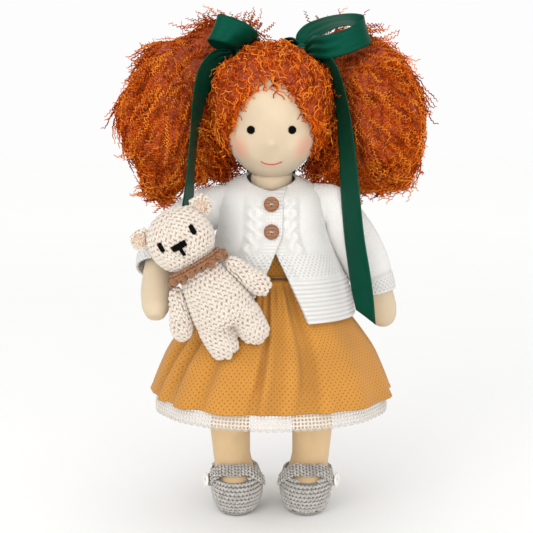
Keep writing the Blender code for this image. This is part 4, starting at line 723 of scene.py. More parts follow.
def core_material():
    """The hair's body behind the strands, in its own colours darkened as painted shade."""
    material, wires, shader = start_material("mohair_depth")
    place = object_place(wires)
    clump = wires.noise(place, 420.0, 3.0, 0.7)
    # Painted shade: the hair colours are darkened here for the shade deep inside the hair.
    tone = wires.mixed(wires.ranged(clump, 0.35, 0.68), darker(colours().hair_dark, 0.75),
                       darker(colours().hair_mid, 0.75))
    join_up(wires, shader, tone, 0.8, clump, 0.8, 0.0012)
    return material


def satin_material():
    """Smooth woven satin, darker in its folds and brighter where it turns."""
    material, wires, shader = start_material("satin_ribbon")
    place = uv_place(wires)
    x, y, _ = wires.split(place)
    threads = wires.noise(wires.join(wires.times(x, 6.0), wires.times(y, 0.25), 0.0),
                          1600.0, 2.0, 0.6)
    slubs = wires.noise(wires.join(wires.times(x, 3.0), wires.times(y, 0.4), 0.0),
                        160.0, 2.0, 0.5)
    tone = wires.mixed(slubs, darker(colours().ribbon, 0.70), darker(colours().ribbon, 1.25))
    rough = wires.ranged(threads, 0.2, 0.8, 0.34, 0.48, False)
    join_up(wires, shader, tone, rough, threads, 0.12, 0.0001)
    shader.inputs["Specular IOR Level"].default_value = 0.40
    shader.inputs["Specular Tint"].default_value = (0.10, 0.80, 0.55, 1.0)
    return material


def dress_material():
    """Mustard cotton in fine ribs with a net of pinholes."""
    material, wires, shader = start_material("mustard_cotton")
    place = uv_place(wires)
    dots = placed(wires, "dots", place, Pitch=0.0048, Hole=0.13, Ribs=4.0)
    fibres = placed(wires, "fibre", object_place(wires), Fine=1500.0, Broad=26.0)
    colour = colours().dress
    tone = wires.mixed(fibres["Mottle"], darker(colour, 0.92), darker(colour, 1.05))
    # Painted shade: the cotton is darkened between its fine ribs.
    tone = wires.mixed(wires.times(wires.minus(1.0, dots["Rib"]), 0.20), tone, darker(colour, 0.62))
    tone = wires.mixed(wires.times(dots["Hole"], 0.78), tone, colours().dress_dot)
    # Painted shade: the cotton is darkened in the deepest valleys of the skirt's folds.
    hollow = wires.stored("hollow")
    tone = wires.mixed(wires.times(hollow, 0.45), tone, darker(colour, 0.55))
    ribs = wires.times_plus(fibres["Fibre"], 0.25, dots["Rib"])
    height = wires.minus(ribs, wires.times(dots["Hole"], 1.2))
    join_up(wires, shader, tone, 0.82, height, 0.45, 0.0003)
    soft_sheen(shader, 0.15, 0.5, (1.0, 0.9, 0.7))
    return material


def knit_material():
    """White stocking stitch, with its stitches following the piece's own texture place."""
    material, wires, shader = start_material("white_knit")
    place = uv_place(wires)
    knit = placed(wires, "knit", place, Width=0.0020, Height=0.0015)
    seed = placed(wires, "dots", place, Pitch=0.0042, Hole=0.20, Ribs=1.0)
    zone = wires.stored("seed")
    fibres = placed(wires, "fibre", object_place(wires), Fine=1900.0, Broad=60.0)
    colour = colours().knit
    # Painted shade: the knit is darkened in the gaps between its stitch legs.
    tone = wires.mixed(wires.times(knit["Gap"], 0.42), colour, darker(colour, 0.60))
    # Painted shade: the pits of the seed stitch are darkened.
    holes = wires.times(seed["Hole"], zone)
    tone = wires.mixed(wires.times(holes, 0.45), tone, darker(colour, 0.5))
    # Painted shade: the knit is darkened between its ridges, beside its cables and in its cuff's grooves.
    hollow = wires.stored("hollow")
    tone = wires.mixed(wires.times(hollow, 0.50), tone, darker(colour, 0.50))
    height = wires.times_plus(holes, -1.5, wires.times_plus(fibres["Fibre"], 0.35, knit["Relief"]))
    join_up(wires, shader, tone, 0.9, height, 0.9, 0.0007)
    soft_sheen(shader, 0.3, 0.6)
    return material


def cotton_material(name, colour):
    """Plain woven cotton."""
    material, wires, shader = start_material(name)
    place = object_place(wires)
    fibres = placed(wires, "fibre", place, Fine=2200.0, Broad=45.0)
    tone = wires.mixed(fibres["Mottle"], darker(colour, 0.95), colour)
    tone = wires.mixed(wires.times(fibres["Fibre"], 0.10), tone, darker(colour, 0.6))
    join_up(wires, shader, tone, 0.88, fibres["Fibre"], 0.3, 0.0002)
    soft_sheen(shader, 0.15, 0.5)
    return material


def yarn_material(name, colour, contrast=0.2, fuzz=0.14, deep=None):
    """Crochet yarn: twisted plies, fuzz, and a slightly different tone for each stitch."""
    material, wires, shader = start_material(name)
    place = object_place(wires)
    x, y, z = wires.split(place)
    strand = wires.stored("tone")
    fibres = placed(wires, "fibre", place, Fine=1400.0, Broad=90.0)
    slant = wires.plus(wires.times(x, 0.8), wires.times_plus(y, 0.5, z))
    ply = wires.wave("SINE", wires.times(slant, 7000.0))
    tone = wires.mixed(strand, deep or darker(colour, 1.0 - contrast), darker(colour, 1.02))
    tone = wires.mixed(wires.times(fibres["Fibre"], fuzz), tone, darker(colour, 0.5))
    height = wires.times_plus(fibres["Fibre"], 0.6, ply)
    join_up(wires, shader, tone, 0.9, height, 0.35, 0.0002)
    soft_sheen(shader, 0.3, 0.6)
    return material


def wood_material():
    """Turned and oiled wood with rings and pores."""
    material, wires, shader = start_material("button_wood")
    place = object_place(wires)
    x, y, z = wires.split(place)
    bend = wires.noise(place, 160.0, 2.0, 0.5)
    along = wires.plus(wires.times(z, 2400.0), wires.times(bend, 9.0))
    ring = wires.wave("SINE", along)
    pore = wires.noise(wires.join(wires.times(x, 0.25), y, wires.times(z, 2.0)),
                       2600.0, 2.0, 0.6)
    colour = colours().wood
    tone = wires.mixed(ring, darker(colour, 0.72), darker(colour, 1.15))
    tone = wires.mixed(wires.ranged(pore, 0.60, 0.72), tone, darker(colour, 0.35))
    height = wires.minus(ring, wires.times(pore, 0.6))
    join_up(wires, shader, tone, wires.ranged(pore, 0.3, 0.7, 0.40, 0.58, False), height, 0.2, 0.00015)
    return material


def plastic_material():
    """Moulded white plastic with faint scuffs."""
    material, wires, shader = start_material("button_plastic")
    place = object_place(wires)
    scuff = wires.noise(place, 700.0, 3.0, 0.6)
    colour = colours().plastic
    tone = wires.mixed(wires.ranged(scuff, 0.5, 0.75), colour, darker(colour, 0.86))
    join_up(wires, shader, tone, wires.ranged(scuff, 0.3, 0.7, 0.22, 0.36, False), scuff, 0.05, 0.0001)
    shader.inputs["Coat Weight"].default_value = 0.2
    return material


def thread_material(name, colour, shine, sheen=0.2, gloss=0.18):
    """Twisted embroidery thread."""
    material, wires, shader = start_material(name)
    x, _, z = wires.split(object_place(wires))
    slant = wires.plus(wires.times(x, 9000.0), wires.times(z, 6000.0))
    ply = wires.wave("SINE", slant)
    # Painted shade and light: the thread is darker in the grooves between its plies and lighter on their
    # crests.
    tone = wires.mixed(ply, darker(colour, 0.6), darker(colour, 1.25))
    join_up(wires, shader, tone, shine, ply, 0.35, 0.0002)
    shader.inputs["Specular IOR Level"].default_value = gloss
    soft_sheen(shader, sheen, 0.4)
    return material


def floor_material():
    """A plain pale floor with the faintest unevenness, glowing faintly further out."""
    material, wires, shader = start_material("pale_floor")
    place = object_place(wires)
    grain = wires.noise(place, 9.0, 2.0, 0.5)
    tone = wires.mixed(grain, darker(colours().floor, 0.985), colours().floor)
    join_up(wires, shader, tone, 0.85, grain, 0.02, 0.0002)
    # Painted light: the floor glows more the further it lies from the doll, to stay white far off.
    reach = wires.length(place)
    wires.tree.links.new(wires.ranged(reach, 0.4, 2.6, 0.0, 0.076), shader.inputs["Emission Strength"])
    shader.inputs["Emission Color"].default_value = (1.0, 1.0, 1.0, 1.0)
    return material


def finish(name):
    """A material of the doll by name, built when it is first asked for."""
    if name not in MATERIALS:
        c = colours()
        makers = {
            "face": lambda: jersey_material("face_jersey", c.skin, True),
            "skin": lambda: jersey_material("hand_jersey", c.skin),
            "leg": lambda: jersey_material("leg_jersey", c.leg),
            "hair": lambda: hair_material("mohair_strands", 1.0),
            "curls": lambda: hair_material("mohair_curls", 0.35),
            "hair_depth": core_material,
            "satin": satin_material,
            "dress": dress_material,
            "knit": knit_material,
            "cotton": lambda: cotton_material("petticoat_cotton", c.cotton),
            "lace": lambda: cotton_material("cotton_lace", darker(c.cotton, 1.02)),
            "shoe": lambda: yarn_material("grey_crochet", c.shoe, 0.26),
            # Painted shade: a dark grey sheet under the shoes' stitches.
            "shoe_gap_shade": lambda: cotton_material("grey_crochet_gaps", darker(c.shoe, 0.32)),
            "sole": lambda: cotton_material("grey_felt_sole", darker(c.shoe, 0.55)),
            "bear": lambda: yarn_material("cream_crochet", c.bear, 0.07, 0.06),
            # Painted shade: a darker sheet under the bear's stitches.
            "bear_gap_shade": lambda: cotton_material("cream_crochet_gaps", c.bear_gap_shade),
            "tan": lambda: yarn_material("tan_fluff", c.bear, 0.3, 0.06, linear(196, 148, 98)),
            "collar": lambda: yarn_material("brown_crochet", c.collar, 0.25),
            # Painted shade: a dark brown sheet under the collar's stitches.
            "collar_gap_shade": lambda: cotton_material("brown_crochet_gaps", darker(c.collar, 0.40)),
            "wood": wood_material,
            "plastic": plastic_material,
            "eye": lambda: thread_material("black_thread", c.eye, 0.6, 0.0, 0.06),
            "lips": lambda: thread_material("red_thread", c.lips, 0.6),
            "white_thread": lambda: thread_material("white_thread", c.cotton, 0.6),
            "floor": floor_material,
        }
        MATERIALS[name] = makers[name]()
    return MATERIALS[name]


def hand_over(obj, body, slot, *nodes):
    """Puts a finished piece on its body and hides the nodes it stands for; its slot is not used."""
    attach(obj, body)
    if nodes:
        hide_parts(*nodes)
    return obj


def stuff(piece, body, slot, node):
    """Hands over a padded piece."""
    hand_over(piece, body, slot, node)
    return piece


# Geometry trees

def geometry_tree(name, inputs):
    """A geometry tree with named inputs; returns the wiring, its input sockets and its end node."""
    tree = bpy.data.node_groups.new(name, "GeometryNodeTree")
    tree.interface.new_socket("Geometry", in_out="INPUT", socket_type="NodeSocketGeometry")
    for label, kind, value in inputs:
        socket = tree.interface.new_socket(label, in_out="INPUT", socket_type=kind)
        if value is not None:
            socket.default_value = value
    tree.interface.new_socket("Geometry", in_out="OUTPUT", socket_type="NodeSocketGeometry")
    wires = Wiring(tree)
    return wires, wires.node("NodeGroupInput").outputs, wires.node("NodeGroupOutput")


def scaled(wires, vector, number):
    return wires.node("ShaderNodeVectorMath", {0: vector, 3: number}, operation="SCALE").outputs[0]


def random_number(wires, low, high, seed):
    return wires.node("FunctionNodeRandomValue", {2: low, 3: high, 8: seed}, data_type="FLOAT").outputs[1]


def place_copies(wires, inputs, end, points, way, out, sink):
    """The end of a tree: turned copies on points, each with its own tone, made real and finished."""
    seed = inputs["Seed"]
    first = wires.node("FunctionNodeAlignRotationToVector", {"Vector": way}, axis="Z").outputs[0]
    turn = wires.node(
        "FunctionNodeAlignRotationToVector", {"Rotation": first, "Vector": out}, axis="X", pivot_axis="Z",
    ).outputs[0]
    offset = scaled(wires, out, sink)
    moved = wires.node("GeometryNodeSetPosition", {"Geometry": points, "Offset": offset}).outputs[0]
    shapes = wires.node(
        "GeometryNodeCollectionInfo",
        {"Collection": inputs["Shapes"], "Separate Children": True, "Reset Children": True},
    ).outputs[0]
    pick = wires.node("FunctionNodeRandomValue", {4: 0, 5: VARIANTS - 1, 8: seed}, data_type="INT").outputs[2]
    size = random_number(wires, inputs["Small"], inputs["Large"], wires.plus(seed, 3.0))
    copies = wires.node("GeometryNodeInstanceOnPoints", {
        "Points": moved, "Instance": shapes, "Pick Instance": True, "Instance Index": pick,
        "Rotation": turn, "Scale": size,
    }).outputs[0]
    tone = random_number(wires, 0.0, 1.0, wires.plus(seed, 5.0))
    toned = wires.node(
        "GeometryNodeStoreNamedAttribute", {"Geometry": copies, "Name": "tone", "Value": tone},
        data_type="FLOAT", domain="INSTANCE",
    ).outputs[0]
    real = wires.node("GeometryNodeRealizeInstances", {"Geometry": toned}).outputs[0]
    done = wires.node("GeometryNodeSetMaterial", {"Geometry": real, "Material": inputs["Finish"]}).outputs[0]
    wires.tree.links.new(done, end.inputs["Geometry"])


COPY_INPUTS = [
    ("Shapes", "NodeSocketCollection", None), ("Finish", "NodeSocketMaterial", None),
    ("Small", "NodeSocketFloat", 0.8), ("Large", "NodeSocketFloat", 1.2), ("Seed", "NodeSocketInt", 1),
]


def strands_tree():
    """Strands all over a surface, combed away from a root and falling."""
    wires, inputs, end = geometry_tree("combed strands", COPY_INPUTS + [
        ("Root", "NodeSocketVector", None), ("Density", "NodeSocketFloat", 1000.0),
        ("Fall", "NodeSocketFloat", 0.6), ("Wander", "NodeSocketFloat", 0.3),
        ("Lift Low", "NodeSocketFloat", -0.05), ("Lift High", "NodeSocketFloat", 0.3),
        ("Sink", "NodeSocketFloat", 0.002),
    ])
    spread = wires.node(
        "GeometryNodeDistributePointsOnFaces",
        {"Mesh": inputs["Geometry"], "Density": inputs["Density"], "Seed": inputs["Seed"]},
        distribute_method="RANDOM",
    )
    out = spread.outputs["Normal"]
    here = wires.node("GeometryNodeInputPosition").outputs[0]
    flow = wires.vector("NORMALIZE", wires.vector("SUBTRACT", here, inputs["Root"]))
    fall = wires.join(0.0, 0.0, wires.times(inputs["Fall"], -1.0))
    wander = wires.node(
        "FunctionNodeRandomValue", {0: (-1.0, -1.0, -1.0), 1: (1.0, 1.0, 1.0), 8: inputs["Seed"]},
        data_type="FLOAT_VECTOR",
    ).outputs[0]
    total = wires.vector("ADD", wires.vector("ADD", flow, fall), scaled(wires, wander, inputs["Wander"]))
    rise = wires.node("ShaderNodeVectorMath", {0: total, 1: out}, operation="DOT_PRODUCT").outputs["Value"]
    level = wires.vector("NORMALIZE", wires.vector("SUBTRACT", total, scaled(wires, out, rise)))
    lift = random_number(wires, inputs["Lift Low"], inputs["Lift High"], wires.plus(inputs["Seed"], 1.0))
    way = wires.vector("ADD", level, scaled(wires, out, lift))
    sink = random_number(
        wires, wires.times(inputs["Sink"], -1.0), 0.0, wires.plus(inputs["Seed"], 2.0),
    )
    place_copies(wires, inputs, end, spread.outputs["Points"], way, out, sink)
    return wires.tree


def rows_tree():
    """Stitches on points that carry their own outward and upward ways."""
    wires, inputs, end = geometry_tree("rows of stitches", COPY_INPUTS)
    points = wires.node("GeometryNodeMeshToPoints", {"Mesh": inputs["Geometry"]}).outputs[0]
    out, way = (
        wires.node("GeometryNodeInputNamedAttribute", {"Name": name}, data_type="FLOAT_VECTOR").outputs[0]
        for name in ("out", "way")
    )
    place_copies(wires, inputs, end, points, way, out, 0.0)
    return wires.tree


def run_tree(name, mesh, tree, values):
    """Runs a geometry tree on a mesh and returns the result as a plain mesh piece."""
    obj = new_object(name, mesh)
    modifier = obj.modifiers.new("rule", "NODES")
    modifier.node_group = tree
    for item in tree.interface.items_tree:
        if item.item_type == "SOCKET" and item.in_out == "INPUT" and item.name in values:
            modifier[item.identifier] = values[item.name]
    bake(obj)
    obj.data.shade_smooth()
    return obj


def shapes_of(name, meshes):
    """A collection outside the scene that holds the shapes to be repeated."""
    collection = bpy.data.collections.new(name)
    for number, (points, faces) in enumerate(meshes):
        mesh = bpy.data.meshes.new(f"{name} {number}")
        mesh.from_pydata(np.asarray(points).tolist(), [], faces)
        mesh.shade_smooth()
        collection.objects.link(bpy.data.objects.new(f"{name} {number}", mesh))
    return collection


def drop_shapes(collection):
    for obj in list(collection.objects):
        mesh = obj.data
        bpy.data.objects.remove(obj)
        bpy.data.meshes.remove(mesh)
    bpy.data.collections.remove(collection)


def area_of(mesh):
    return sum(face.area for face in mesh.polygons)


# Stitches in rows

def contour(points, triangles, height):
    """The closed lines in which a level plane cuts a mesh, as lists of points."""
    z = points[:, 2] - height
    z = np.where(np.abs(z) < 1e-9, 1e-9, z)
    crossed = triangles[(np.sign(z[triangles]).min(1) < 0) & (np.sign(z[triangles]).max(1) > 0)]
    links = {}
    places = {}
    for triangle in crossed.tolist():
        keys = []
        for a, b in ((0, 1), (1, 2), (2, 0)):
            i, j = sorted((triangle[a], triangle[b]))
            if (z[i] < 0) != (z[j] < 0):
                share = z[i] / (z[i] - z[j])
                places[(i, j)] = points[i] + (points[j] - points[i]) * share
                keys.append((i, j))
        if len(keys) == 2:
            links.setdefault(keys[0], []).append(keys[1])
            links.setdefault(keys[1], []).append(keys[0])
    loops = []
    left = set(links)
    while left:
        start = min(left)
        loop = [start]
        left.discard(start)
        while True:
            following = [k for k in links[loop[-1]] if k in left]
            if not following:
                break
            loop.append(following[0])
            left.discard(following[0])
        if len(loop) > 5:
            loops.append(np.array([places[k] for k in loop]))
    return loops


def stitch_rows(obj, up, pitch, row_pitch):
    """Staggered rows of points round a piece across an upward way, with their outward and upward ways."""
    points, triangles = arrays(obj.data)
    tree = tree_of(points, triangles)
    up = unit(np.array(up, float))
    side = unit(np.cross((0.0, 1.0, 0.0), up))
    turn = np.stack([side, np.cross(up, side), up])
    local = points @ turn.T
    low, high = local[:, 2].min(), local[:, 2].max()
    height = low + row_pitch * 0.06
    places, outs, ways = [], [], []
    row = 0
    while height < high - row_pitch * 0.02:
        steep = []
        for loop in contour(local, triangles, height):
            ring = np.concatenate([loop, loop[:1]])
            along = path_lengths(ring)
            count = max(int(round(along[-1] / pitch)), 3)
            at = (np.arange(count) + 0.5 * (row % 2)) / count * along[-1]
            picked = np.stack([np.interp(at, along, ring[:, k]) for k in range(3)], -1) @ turn
            for place in picked:
                hit, normal, _, _ = tree.find_nearest(Vector(place))
                out = np.array(normal)
                way = up - out * (up @ out)
                steep.append(np.linalg.norm(way))
                if steep[-1] > 0.05:
                    places.append(np.array(hit))
                    outs.append(out)
                    ways.append(way / steep[-1])
        height += row_pitch * max(float(np.mean(steep)) if steep else 1.0, 0.12)
        row += 1
    mesh = bpy.data.meshes.new("stitch places")
    mesh.from_pydata(np.array(places).tolist(), [], [])
    for name, values in (("out", outs), ("way", ways)):
        layer = mesh.attributes.new(name, "FLOAT_VECTOR", "POINT")
        layer.data.foreach_set("vector", np.array(values, np.float32).reshape(-1))
    return mesh


def grain(centre, way, length, radius):
    """One rounded grain of yarn as points and faces."""
    lifts = np.array((-1.0, -0.62, 0.0, 0.62, 1.0))
    shares = np.array((0.30, 0.82, 1.0, 0.82, 0.30))
    way = np.array(way, float) / np.linalg.norm(way)
    centres = np.array(centre, float) + way * lifts[:, None] * length / 2
    return tube_mesh(centres, radius * shares, 4, (1, 0, 0))


def v_stitches(width, height):
    """Slightly different V stitches, two grains each, x outwards and z up."""
    meshes = []
    random = np.random.default_rng(11)
    for _ in range(VARIANTS):
        grains = []
        for side in (-1, 1):
            lean = 0.42 + random.uniform(-0.08, 0.08)
            centre = (width * 0.10, side * width * 0.23, random.uniform(-0.04, 0.04) * height)
            grains.append(grain(centre, (0.12, side * lean, 1.0), height * 1.30, width * 0.330))
        meshes.append(merged(grains))
    return meshes


def knobbly_stitches(width):
    """Short crossed grains for close crochet."""
    meshes = []
    random = np.random.default_rng(12)
    for _ in range(VARIANTS):
        grains = []
        for side in (-1, 1):
            lean = random.uniform(0.5, 0.9)
            centre = (width * 0.06 * (1 + side), side * width * 0.20, 0.0)
            grains.append(grain(centre, (0.1, side * lean, 1.0), width * 1.05, width * 0.30))
        meshes.append(merged(grains))
    return meshes


def cover_with_stitches(name, obj, up, pitch, row_pitch, shapes, material, body, slot, seed):
    """Stitches in rows all over a base piece."""
    mesh = stitch_rows(obj, up, pitch, row_pitch)
    collection = shapes_of(name + " shapes", shapes)
    values = {"Shapes": collection, "Finish": finish(material), "Small": 0.94, "Large": 1.06, "Seed": seed}
    piece = run_tree(name, mesh, shared_tree("rows"), values)
    drop_shapes(collection)
    return hand_over(piece, body, slot)


TREES = {}


def shared_tree(name):
    if name not in TREES:
        TREES[name] = {"strands": strands_tree, "rows": rows_tree}[name]()
    return TREES[name]


# Head, limbs and torso

def make_head():
    head = refined("doll_head_cloth", "head", 0.0016, 40, 0.0004, finish("face"))
    points, _ = arrays(head.data)
    low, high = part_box("head")
    nose_height = low.z + 0.315 * (high.z - low.z)
    away = np.hypot((points[:, 0] - AXIS[0]) / 0.0060, (points[:, 2] - nose_height) / 0.0046)
    front = points[:, 1] < middle("head")[1]
    nose = bell(away, 1) * front * 0.0017
    eye_height = middle("eye_left")[2]
    for node in ("eye_left", "eye_right"):
        x = middle(node)[0]
        socket = np.hypot((points[:, 0] - x) / 0.0085, (points[:, 2] - eye_height) / 0.0065)
        nose = nose - bell(socket, 1) * front * 0.0007
    push(head, nose)
    stuff(head, "doll_head", "skin", "head")
    for label in ("left", "right"):
        ear = refined(f"ear_{label}_cloth", f"ear_{label}", 0.0006, 10, 0.0002, finish("skin"))
        points, _ = arrays(ear.data)
        centre = middle(f"ear_{label}")
        dent = bell(np.linalg.norm((points - centre) * (0.4, 1, 0.7), axis=1), 0.0022)
        push(ear, -0.0009 * dent * (np.abs(points[:, 0]) > abs(centre[0])))
        stuff(ear, "doll_head", "skin", f"ear_{label}")


def make_limbs():
    limbs = [
        ("neck", "doll_body", "skin", "skin", 0.0012, 12, 0.0020, 0.9),
        ("torso", "doll_body", "skin", "skin", 0.0022, 14, 0.0, 0.9),
    ]
    for label in ("left", "right"):
        limbs.append((f"arm_{label}", f"{label}_arm", "skin", "skin", 0.0015, 16, 0.0003, 0.9))
        limbs.append((f"leg_{label}", f"{label}_leg", "leg", "leg_skin", 0.0020, 14, 0.0003, 0.95))
    for node, body, material, slot, voxel, passes, grow, fill in limbs:
        limb = refined(f"{node}_cloth", node, voxel, passes, grow, finish(material))
        stuff(limb, body, slot, node)


# Face

def on_front(tree, x, z, lift):
    """The place on the front of a surface at x and z, lifted off it."""
    hit, normal, _, _ = tree.ray_cast(Vector((x, -0.3, z)), Vector((0, 1, 0)))
    if hit is None:
        hit, normal, _, _ = tree.find_nearest(Vector((x, -0.1, z)))
    return np.array(hit) + np.array(normal) * lift


def make_face():
    tree = tree_of(*arrays(bpy.data.objects["doll_head_cloth"].data))
    threads = 9
    for label in ("left", "right"):
        low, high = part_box(f"eye_{label}")
        centre = (low + high) / 2
        half_width = (high.x - low.x) / 2 * 1.06
        half_height = (high.z - low.z) / 2 * 1.06
        radii = half_width / threads * 1.25 * np.array((0.6, 0.9, 1, 1, 1, 1, 1, 0.9, 0.6))
        runs = []
        for k in range(threads):
            lift = 2 * (k + 0.5) / threads - 1
            reach = half_height * math.sqrt(1 - (lift * 0.96) ** 2)
            x = centre.x + lift * half_width
            centres = []
            for share in np.linspace(-1, 1, 9):
                bow = math.sqrt(max(1 - share * share, 0))
                centres.append(on_front(tree, x, centre.z + share * reach, 0.00025 + 0.00055 * bow))
            runs.append((centres, radii, 6, (1.0, 0.0, 0.0)))
        eye = tubes_piece(f"eye_{label}_thread", runs, finish("eye"))
        hand_over(eye, "doll_head", "black_thread", f"eye_{label}")
    low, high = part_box("mouth")
    middle_x = (low.x + high.x) / 2
    half = (high.x - low.x) / 2 * 1.30
    radii = 0.00052 * np.array((0.7, 0.95, 1, 1, 1, 0.95, 0.7))
    runs = []
    stitches = 6
    for k in range(stitches):
        ends = np.linspace(2 * k / stitches - 1.03, 2 * (k + 1) / stitches - 0.97, 7)
        centres = []
        for number, share in enumerate(ends):
            z = low.z + 0.0006 + (high.z - low.z - 0.0004) * share**2
            bow = math.sin(math.pi * number / 6)
            centres.append(on_front(tree, middle_x + share * half, z, 0.00015 + 0.00035 * bow))
        runs.append((centres, radii, 6, (0.0, 0.0, 1.0)))
    mouth = tubes_piece("mouth_thread", runs, finish("lips"))
    hand_over(mouth, "doll_head", "red_thread", "mouth")


# Hair

def strand_shapes():
    """Crimped strands, z along the strand and x away from the surface."""
    random = np.random.default_rng(21)
    s = sizes()
    meshes = []
    for number in range(VARIANTS):
        length = s.strand_length * random.uniform(0.75, 1.1)
        count = int(length / s.crimp_length * 2) + 1
        along = np.linspace(0, length, count)
        zigzag = np.where(np.arange(count) % 2 == 0, -1, 1) * s.crimp_depth * random.uniform(0.8, 1.25, count)
        share = along / length
        bend = -along**2 / (2 * 0.036) + 0.0012 * np.sin(share * random.uniform(2, 5) + number)
        sway = 0.0025 * np.sin(share * math.pi * random.uniform(0.6, 1.5) + random.uniform(0, 3))
        if number % 2:
            curl = np.clip(share - 0.72, 0, 1) / 0.28
            bend = bend + curl**2 * random.uniform(0.002, 0.006)
            sway = sway + curl**2 * random.uniform(-0.006, 0.006)
        lift = zigzag * 0.35 * np.cos(np.arange(count) * 1.3)
        centres = np.stack([bend + lift, sway + zigzag, along], -1)
        radii = s.strand_width / 2 * (1 - 0.45 * np.clip((share - 0.75) / 0.25, 0, 1))
        meshes.append(tube_mesh(centres, radii, 3, (1.0, 0.0, 0.0)))
    return meshes


def curl_shapes():
    """Short tangled curls of the cap, z along the curl and x away from the head."""
    random = np.random.default_rng(22)
    meshes = []
    for _ in range(VARIANTS):
        length = sizes().curl_length * random.uniform(0.7, 1.2)
        share = np.linspace(0, 1, 10)
        turns = share * 2 * math.pi * random.uniform(1.3, 2.2) + random.uniform(0, 6)
        width = 0.0013 * random.uniform(0.7, 1.2)
        centres = np.stack([
            0.0010 * np.sin(turns * 0.7) + 0.0022 * np.sin(share * math.pi),
            width * np.sin(turns) + 0.0015 * np.sin(share * random.uniform(2, 5)),
            length * share + width * 0.7 * np.cos(turns),
        ], -1)
        meshes.append(tube_mesh(centres, np.full(10, 0.00038), 3, (1.0, 0.2, 0.1)))
    return meshes


def comb(name, mesh, shapes, material, count, seed, root, fall, wander, sink, scales, lifts):
    """Copies combed away from a root over a part of the head's hair, as one piece."""
    piece = run_tree(name, mesh, shared_tree("strands"), {
        "Shapes": shapes, "Finish": finish(material), "Density": count / area_of(mesh), "Seed": seed,
        "Root": root, "Fall": fall, "Wander": wander, "Sink": sink,
        "Small": scales[0], "Large": scales[1], "Lift Low": lifts[0], "Lift High": lifts[1],
    })
    return hand_over(piece, "doll_head", "mohair")


def kept_faces(obj, keep):
    """A copy of a piece's mesh with only the faces whose centres pass the test."""
    mesh = obj.data.copy()

    def cut(shape):
        gone = [face for face in shape.faces if not keep(face.calc_center_median())]
        bmesh.ops.delete(shape, geom=gone, context="FACES")

    reshaped(mesh, cut)
    return mesh


def make_cap():
    # The base under the curls takes the darkened hair colour: painted shade under the curls.
    cap = refined("hair_cap_base", "hair_cap", 0.0026, 12, -0.0022, finish("hair_depth"))
    points, _ = arrays(cap.data)
    push(cap, 0.0006 * lumps(points, 0.008, 31))
    stuff(cap, "doll_head", "mohair", "hair_cap")
    centre = middle("head")

    def outside(place):
        return np.linalg.norm((np.array(place) - centre) / FACE_OPENING) > 1.0

    mesh = kept_faces(cap, outside)
    shapes = shapes_of("curls", curl_shapes())
    crown = (float(AXIS[0]), -0.060, middle("mouth")[2])
    for part, seed in ((1, 71), (2, 72)):
        comb(f"hair_cap_curls_{part}", mesh.copy(), shapes, "curls", sizes().curls / 2, seed,
             crown, 0.0, 1.0, 0.0020, (0.75, 1.25), (-0.25, 0.25))

    def rim(place):
        away = np.array(place) - centre
        return 1.0 < np.linalg.norm(away / FACE_OPENING) < 1.075 and away[1] < -0.012

    parting = (float(AXIS[0]) + 0.002, -0.050, float(centre[2]) + 0.056)
    comb("hair_cap_wisps", kept_faces(cap, rim), shapes, "curls", 1000, 73,
         parting, 0.30, 0.50, 0.0012, (0.85, 1.45), (-0.10, 0.22))
    drop_shapes(shapes)


def knot_place(side):
    """Where a bow's ribbon comes together: above the crown, beside the parting."""
    return np.array((side * 0.0260 + AXIS[0], 0.0160 + AXIS[1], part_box("head")[1].z - 0.0002))


# Fall, wander, sink and highest lift of a pigtail's strands, from the inside out
STRAND_LAYERS = ((0.45, 0.35, 0.0030, 0.12), (0.60, 0.50, 0.0015, 0.20), (0.80, 0.75, 0.0, 0.34))


def make_pigtails():
    shapes = shapes_of("strands", strand_shapes())
    for side, label in ((-1, "right"), (1, "left")):
        node = f"pigtail_{label}"
        # The core under the strands takes the darkened hair colour: painted shade inside the pigtail.
        core = refined(f"{node}_depth", node, 0.0030, 22, -0.0030, finish("hair_depth"))
        points, _ = arrays(core.data)
        push(core, 0.0022 * lumps(points, 0.020, 40 + side) + 0.0007 * lumps(points, 0.007, 50 + side))
        stuff(core, "doll_head", "mohair", f"pigtail_{label}")

        def seen(place):
            away = abs(place.x - AXIS[0])
            inner = math.hypot(place.x - AXIS[0], place.y - AXIS[1]) < 0.048 and place.z < 0.372
            return away > 0.018 and not inner

        mesh = kept_faces(core, seen)
        root = tuple(float(v) for v in knot_place(side) + (side * 0.004, 0.006, -0.004))
        for part, (fall, wander, sink, lift) in enumerate(STRAND_LAYERS):
            comb(f"pigtail_{label}_strands_{part + 1}", mesh.copy(), shapes, "hair", sizes().strands / 3,
                 80 + 10 * side + part, root, fall, wander, sink, (0.8, 1.15), (-0.06, lift))

        def beside_neck(place):
            return abs(place.x - AXIS[0]) < 0.066 and 0.283 < place.z < 0.335 and place.y > -0.028

        comb(f"pigtail_{label}_inner_strands", kept_faces(core, beside_neck), shapes, "hair", 340,
             90 + side, (side * 0.25, 0.01, 0.36), 0.5, 0.5, 0.0020, (0.75, 1.1), (0.5, 1.6))
    drop_shapes(shapes)


# Ribbons: places from the knot out, to the front and up as shares of a loop's or tail's length,
# then the way of the width and its share of the ribbon's

